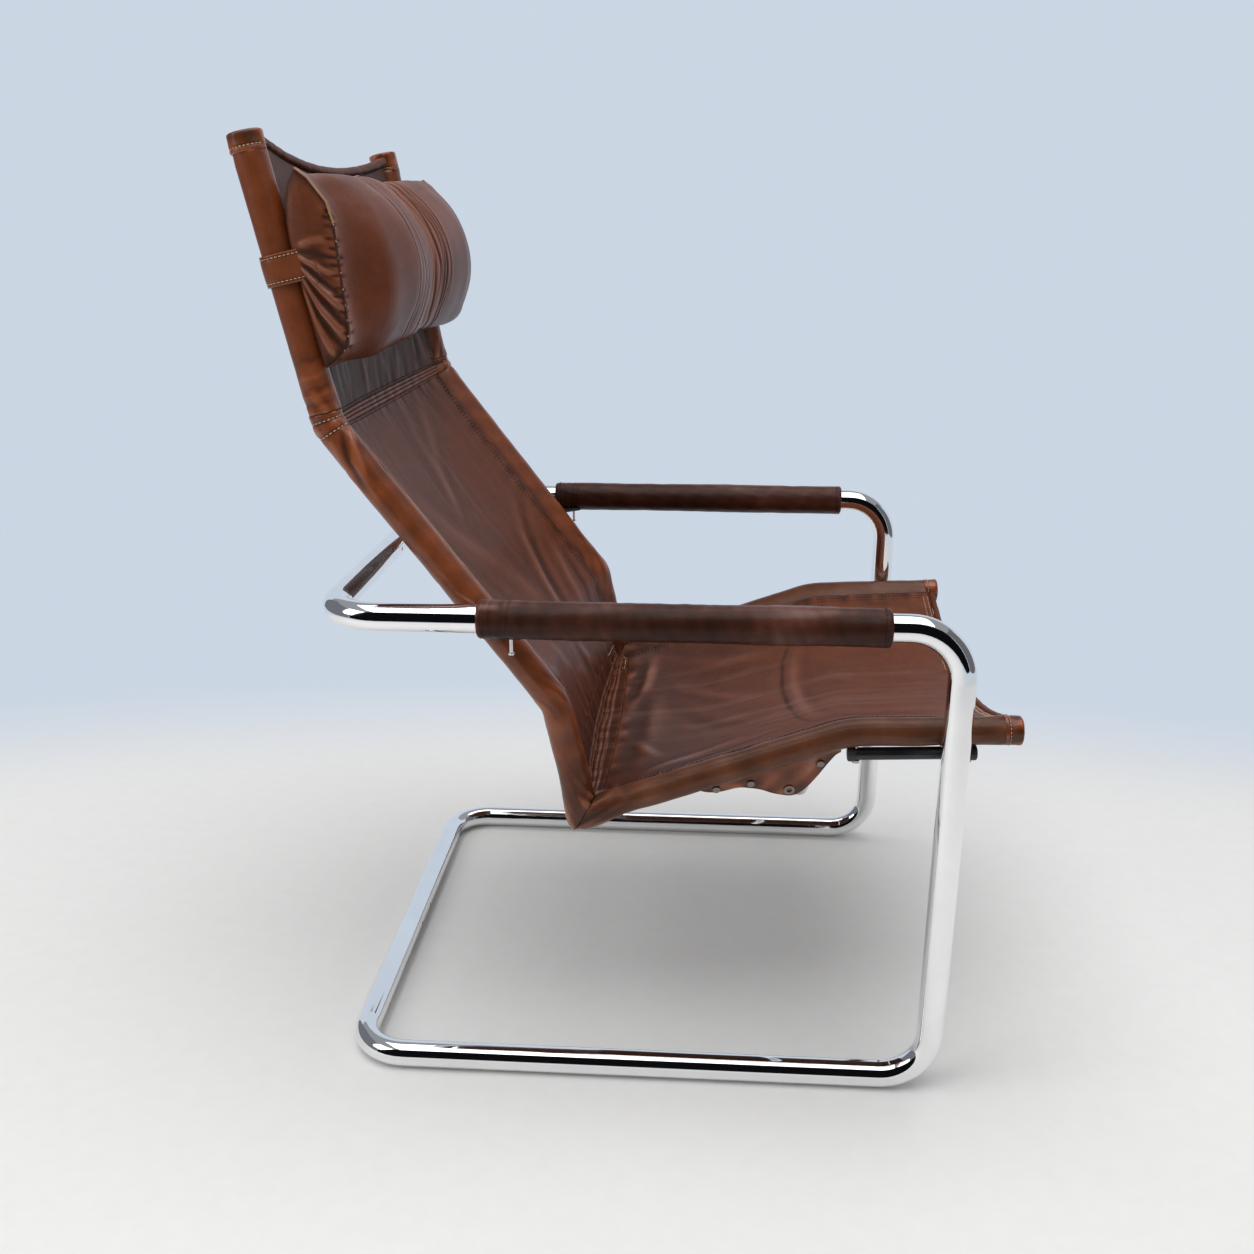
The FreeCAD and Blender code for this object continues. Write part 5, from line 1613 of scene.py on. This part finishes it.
class LOUNGE_CHAIR_OT_sling_stitching(PieceOperator):
    """Sew the seams of the sling and its sleeves"""

    bl_idname = "lounge_chair.sling_stitching"
    bl_label = "Sling stitching"

    def build(self, chair):
        depth = chair.fold_depth
        dark, light = [], []
        back_s = np.arange(AT_LUMBAR + 10, AT_APEX - 34, 2.0)
        seat_s = np.arange(AT_APEX + 24, AT_FRONT - 22, 2.0)
        for side in (RIGHT, LEFT):
            for inset in (3.0, 8.0):
                dark.append(sling_thread(lower_surface, back_s, side * (SLING_HALF - inset), depth))
                dark.append(sling_thread(seat_surface, seat_s, side * (SLING_HALF - inset), depth))
            upper_s = np.arange(30, AT_LUMBAR - 10, 2.0)
            dark.append(sling_thread(upper_surface, upper_s, side * (SLING_HALF - 4), depth))
        y = np.linspace(-236, 236, 200)
        dark.append(sling_thread(lower_surface, AT_LUMBAR + 9.5, y, depth))
        dark.append(sling_thread(upper_surface, AT_LUMBAR - 9.5, y, depth))
        for offset in (-9.8, -3.2, 3.4, 10.0):
            dark.append(sling_thread(crease_surface, AT_APEX + offset, y, depth))
        for inset in (19.5, 25.0):
            light.append(sling_thread(seat_surface, AT_FRONT - inset, y, depth))
        for s in (AT_APEX - 26, AT_APEX + 16):
            light.append(sling_thread(crease_surface, s, np.linspace(190, 232, 40), depth))
        crease_s = np.linspace(AT_APEX - 28, AT_APEX + 18, 30)
        for y_end in (194.0, 230.0):
            light.append(sling_thread(crease_surface, crease_s, y_end, depth))
        path, _ = sling_thread(lower_surface, back_s[:185], -236.0, depth, raised=3.2)
        piping("rail_piping", path, 0.9, light_piping(), "chair", "rail_leather")
        stitching("sling_dark_stitching", dark, dark_thread(), thread=0.5, pitch=5.2)
        stitching("sling_light_stitching", light, light_thread(), thread=0.45, pitch=5.0)
        rings = []
        for side in (RIGHT, LEFT):
            folds = lower_sleeve_folds(side)
            w = np.linspace(14, 92, 90)
            for place in LUMBAR_RINGS:
                rings.append(sleeve_thread(BACK_LINE, place, w, side, BACK_SLEEVE_R, 0.0, folds, depth, 0.3))
        stitching("sleeve_ring_stitching", rings, light_thread(), thread=0.5, pitch=5.0)


class LOUNGE_CHAIR_OT_stage(bpy.types.Operator):
    """Make the floor, the backdrop, the lights and the camera"""

    bl_idname = "lounge_chair.stage"
    bl_label = "Stage"

    def execute(self, context):
        stage = context.scene.lounge_chair_stage
        self.floor(stage)
        low, high = 0.02, 2.9
        for name, start, end, glow in (("dark_board", (-3, -1.95), (3, -1.95), (0.004, 0.004, 0.005)),
                                       ("grey_board_right", (-3, -1.9), (-3, 2.2), (0.16, 0.17, 0.19)),
                                       ("grey_board_left", (3.2, -1.9), (3.2, 1.2), (0.14, 0.14, 0.15))):
            self.board(name, [(*start, low), (*end, low), (*end, high), (*start, high)], glow)
        ceiling = [(-5, -4, 3.3), (5, -4, 3.3), (5, 4, 3.3), (-5, 4, 3.3)]
        self.board("grey_ceiling", ceiling, (0.30, 0.31, 0.33))
        self.world(stage)
        self.light("overhead_light", (0.1, -0.25, 2.9), (0.05, 0.1, 0.4), (3.2, 3.0), stage.overhead_power)
        self.light("side_light", (-2.4, -1.5, 1.9), (0.0, 0.0, 0.6), (1.6, 1.8), stage.side_power)
        self.camera()
        context.scene.view_settings.view_transform = "Standard"
        return {"FINISHED"}

    def floor(self, stage):
        half = 14.0
        corners = [(-half, -half, 0), (half, -half, 0), (half, half, 0), (-half, half, 0)]
        finish = Finish("pale_floor")
        where = finish.node("ShaderNodeTexCoord", out=3)
        flat = finish.node("ShaderNodeVectorMath", {"operation": "MULTIPLY_ADD"},
                           {0: where, 1: (0.55, 1, 0), 2: (0, 0.5, 0)})
        far = finish.node("ShaderNodeVectorMath", {"operation": "LENGTH"}, {0: flat}, 1)
        fade = far.band(1.0, 1.55)
        speck = finish.noise(40.0, 4.0, 0.6)
        dusty = tuple(vec(*stage.floor_colour) * 0.97)
        near = finish.mix(speck.band(0.2, 0.8), dusty, tuple(stage.floor_colour))
        finish.set(Base_Color=near, Roughness=0.55)
        finish.bump(speck, 0.0003, 0.2)
        path = finish.node("ShaderNodeLightPath")
        seen = [Wire(finish, path.socket.node.outputs[name])
                for name in ("Is Camera Ray", "Is Glossy Ray", "Is Transmission Ray")]
        glow = finish.node("ShaderNodeEmission", {}, {"Color": (*stage.backdrop_colour, 1.0)})
        blend = finish.node("ShaderNodeMixShader", {}, {0: fade * (seen[0] + seen[1] + seen[2]).clamp(),
                                                       1: Wire(finish, finish.shader.outputs[0]), 2: glow})
        finish.tree.links.new(blend.socket, finish.output.inputs["Surface"])
        self.plane("floor", corners, finish)

    def board(self, name, corners, glow):
        """A board seen only in reflections, as in a studio for chrome."""
        finish = Finish(name)
        finish.set(Base_Color=(0.0, 0.0, 0.0, 1.0), Roughness=1.0, Specular_IOR_Level=0.0)
        finish.set(Emission_Color=(*glow, 1.0), Emission_Strength=1.0)
        board = self.plane(name, corners, finish)
        board.visible_camera = False
        board.visible_diffuse = False
        board.visible_shadow = False
        board.visible_transmission = False

    def plane(self, name, corners, finish):
        mesh = bpy.data.meshes.new(name)
        mesh.from_pydata(corners, [], [(0, 1, 2, 3)])
        mesh.materials.append(finish.material)
        plane = bpy.data.objects.new(name, mesh)
        bpy.context.scene.collection.objects.link(plane)
        return plane

    def world(self, stage):
        world = bpy.data.worlds.new("soft_studio")
        bpy.context.scene.world = world
        world.use_nodes = True
        tree = world.node_tree
        tree.nodes.clear()
        output = tree.nodes.new("ShaderNodeOutputWorld")
        path = tree.nodes.new("ShaderNodeLightPath")
        light = tree.nodes.new("ShaderNodeBackground")
        light.inputs["Color"].default_value = (1.0, 0.995, 0.985, 1.0)
        light.inputs["Strength"].default_value = stage.world_strength
        back = tree.nodes.new("ShaderNodeBackground")
        back.inputs["Color"].default_value = (*stage.backdrop_colour, 1.0)
        mix = tree.nodes.new("ShaderNodeMixShader")
        seen = path.outputs["Is Camera Ray"]
        for name in ("Is Glossy Ray", "Is Transmission Ray"):
            either = tree.nodes.new("ShaderNodeMath")
            either.operation = "MAXIMUM"
            tree.links.new(seen, either.inputs[0])
            tree.links.new(path.outputs[name], either.inputs[1])
            seen = either.outputs[0]
        tree.links.new(seen, mix.inputs[0])
        tree.links.new(light.outputs[0], mix.inputs[1])
        tree.links.new(back.outputs[0], mix.inputs[2])
        tree.links.new(mix.outputs[0], output.inputs["Surface"])

    def light(self, name, place, target, size, power):
        data = bpy.data.lights.new(name, "AREA")
        data.shape = "RECTANGLE"
        data.size, data.size_y = size
        data.energy = power
        lamp = bpy.data.objects.new(name, data)
        lamp.location = place
        lamp.rotation_euler = (Vector(target) - Vector(place)).to_track_quat("-Z", "Y").to_euler()
        bpy.context.scene.collection.objects.link(lamp)

    def camera(self):
        yaw, pitch, roll = [math.radians(a) for a in CAMERA_TURN]
        forward = vec(math.sin(yaw) * math.cos(pitch), math.cos(yaw) * math.cos(pitch), -math.sin(pitch))
        right = vec(math.cos(yaw), -math.sin(yaw), 0)
        down = np.cross(forward, right)
        x_axis = right * math.cos(roll) + down * math.sin(roll)
        y_axis = right * math.sin(roll) - down * math.cos(roll)
        data = bpy.data.cameras.new("camera")
        data.sensor_width = 36.0
        data.lens = CAMERA_LENS
        camera = bpy.data.objects.new("camera", data)
        turn = Matrix([x_axis, y_axis, -forward]).transposed().to_4x4()
        camera.matrix_world = Matrix.Translation(CAMERA_PLACE) @ turn
        bpy.context.scene.collection.objects.link(camera)
        bpy.context.scene.camera = camera


class LOUNGE_CHAIR_PT_panel(bpy.types.Panel):
    """Lists the chair's pieces and settings"""

    bl_idname = "LOUNGE_CHAIR_PT_panel"
    bl_label = "Lounge chair"
    bl_space_type = "VIEW_3D"
    bl_region_type = "UI"
    bl_category = "Lounge chair"

    def draw(self, context):
        layout = self.layout
        for operator in OPERATORS:
            layout.operator(operator.bl_idname)
        scene = context.scene
        for group in (scene.lounge_chair_leather, scene.lounge_chair_headrest, scene.lounge_chair_stage):
            box = layout.box()
            for name in group.__class__.__annotations__:
                box.prop(group, name)


GROUPS = (LoungeChairLeather, LoungeChairHeadrest, LoungeChairStage)
OPERATORS = (
    LOUNGE_CHAIR_OT_stage,
    LOUNGE_CHAIR_OT_metalwork,
    LOUNGE_CHAIR_OT_rail_sleeves,
    LOUNGE_CHAIR_OT_end_caps,
    LOUNGE_CHAIR_OT_sling_panels,
    LOUNGE_CHAIR_OT_sling_stitching,
    LOUNGE_CHAIR_OT_arm_covers,
    LOUNGE_CHAIR_OT_under_flaps,
    LOUNGE_CHAIR_OT_headrest_cushion,
    LOUNGE_CHAIR_OT_headrest_straps,
)
CLASSES = GROUPS + OPERATORS + (LOUNGE_CHAIR_PT_panel,)


def register():
    for cls in CLASSES:
        bpy.utils.register_class(cls)
    bpy.types.Scene.lounge_chair_leather = bpy.props.PointerProperty(type=LoungeChairLeather)
    bpy.types.Scene.lounge_chair_headrest = bpy.props.PointerProperty(type=LoungeChairHeadrest)
    bpy.types.Scene.lounge_chair_stage = bpy.props.PointerProperty(type=LoungeChairStage)


def unregister():
    del bpy.types.Scene.lounge_chair_stage
    del bpy.types.Scene.lounge_chair_headrest
    del bpy.types.Scene.lounge_chair_leather
    for cls in reversed(CLASSES):
        bpy.utils.unregister_class(cls)


def main():
    register()
    for operator in OPERATORS:
        category, name = operator.bl_idname.split(".")
        getattr(getattr(bpy.ops, category), name)()


if __name__ == "__main__":
    main()
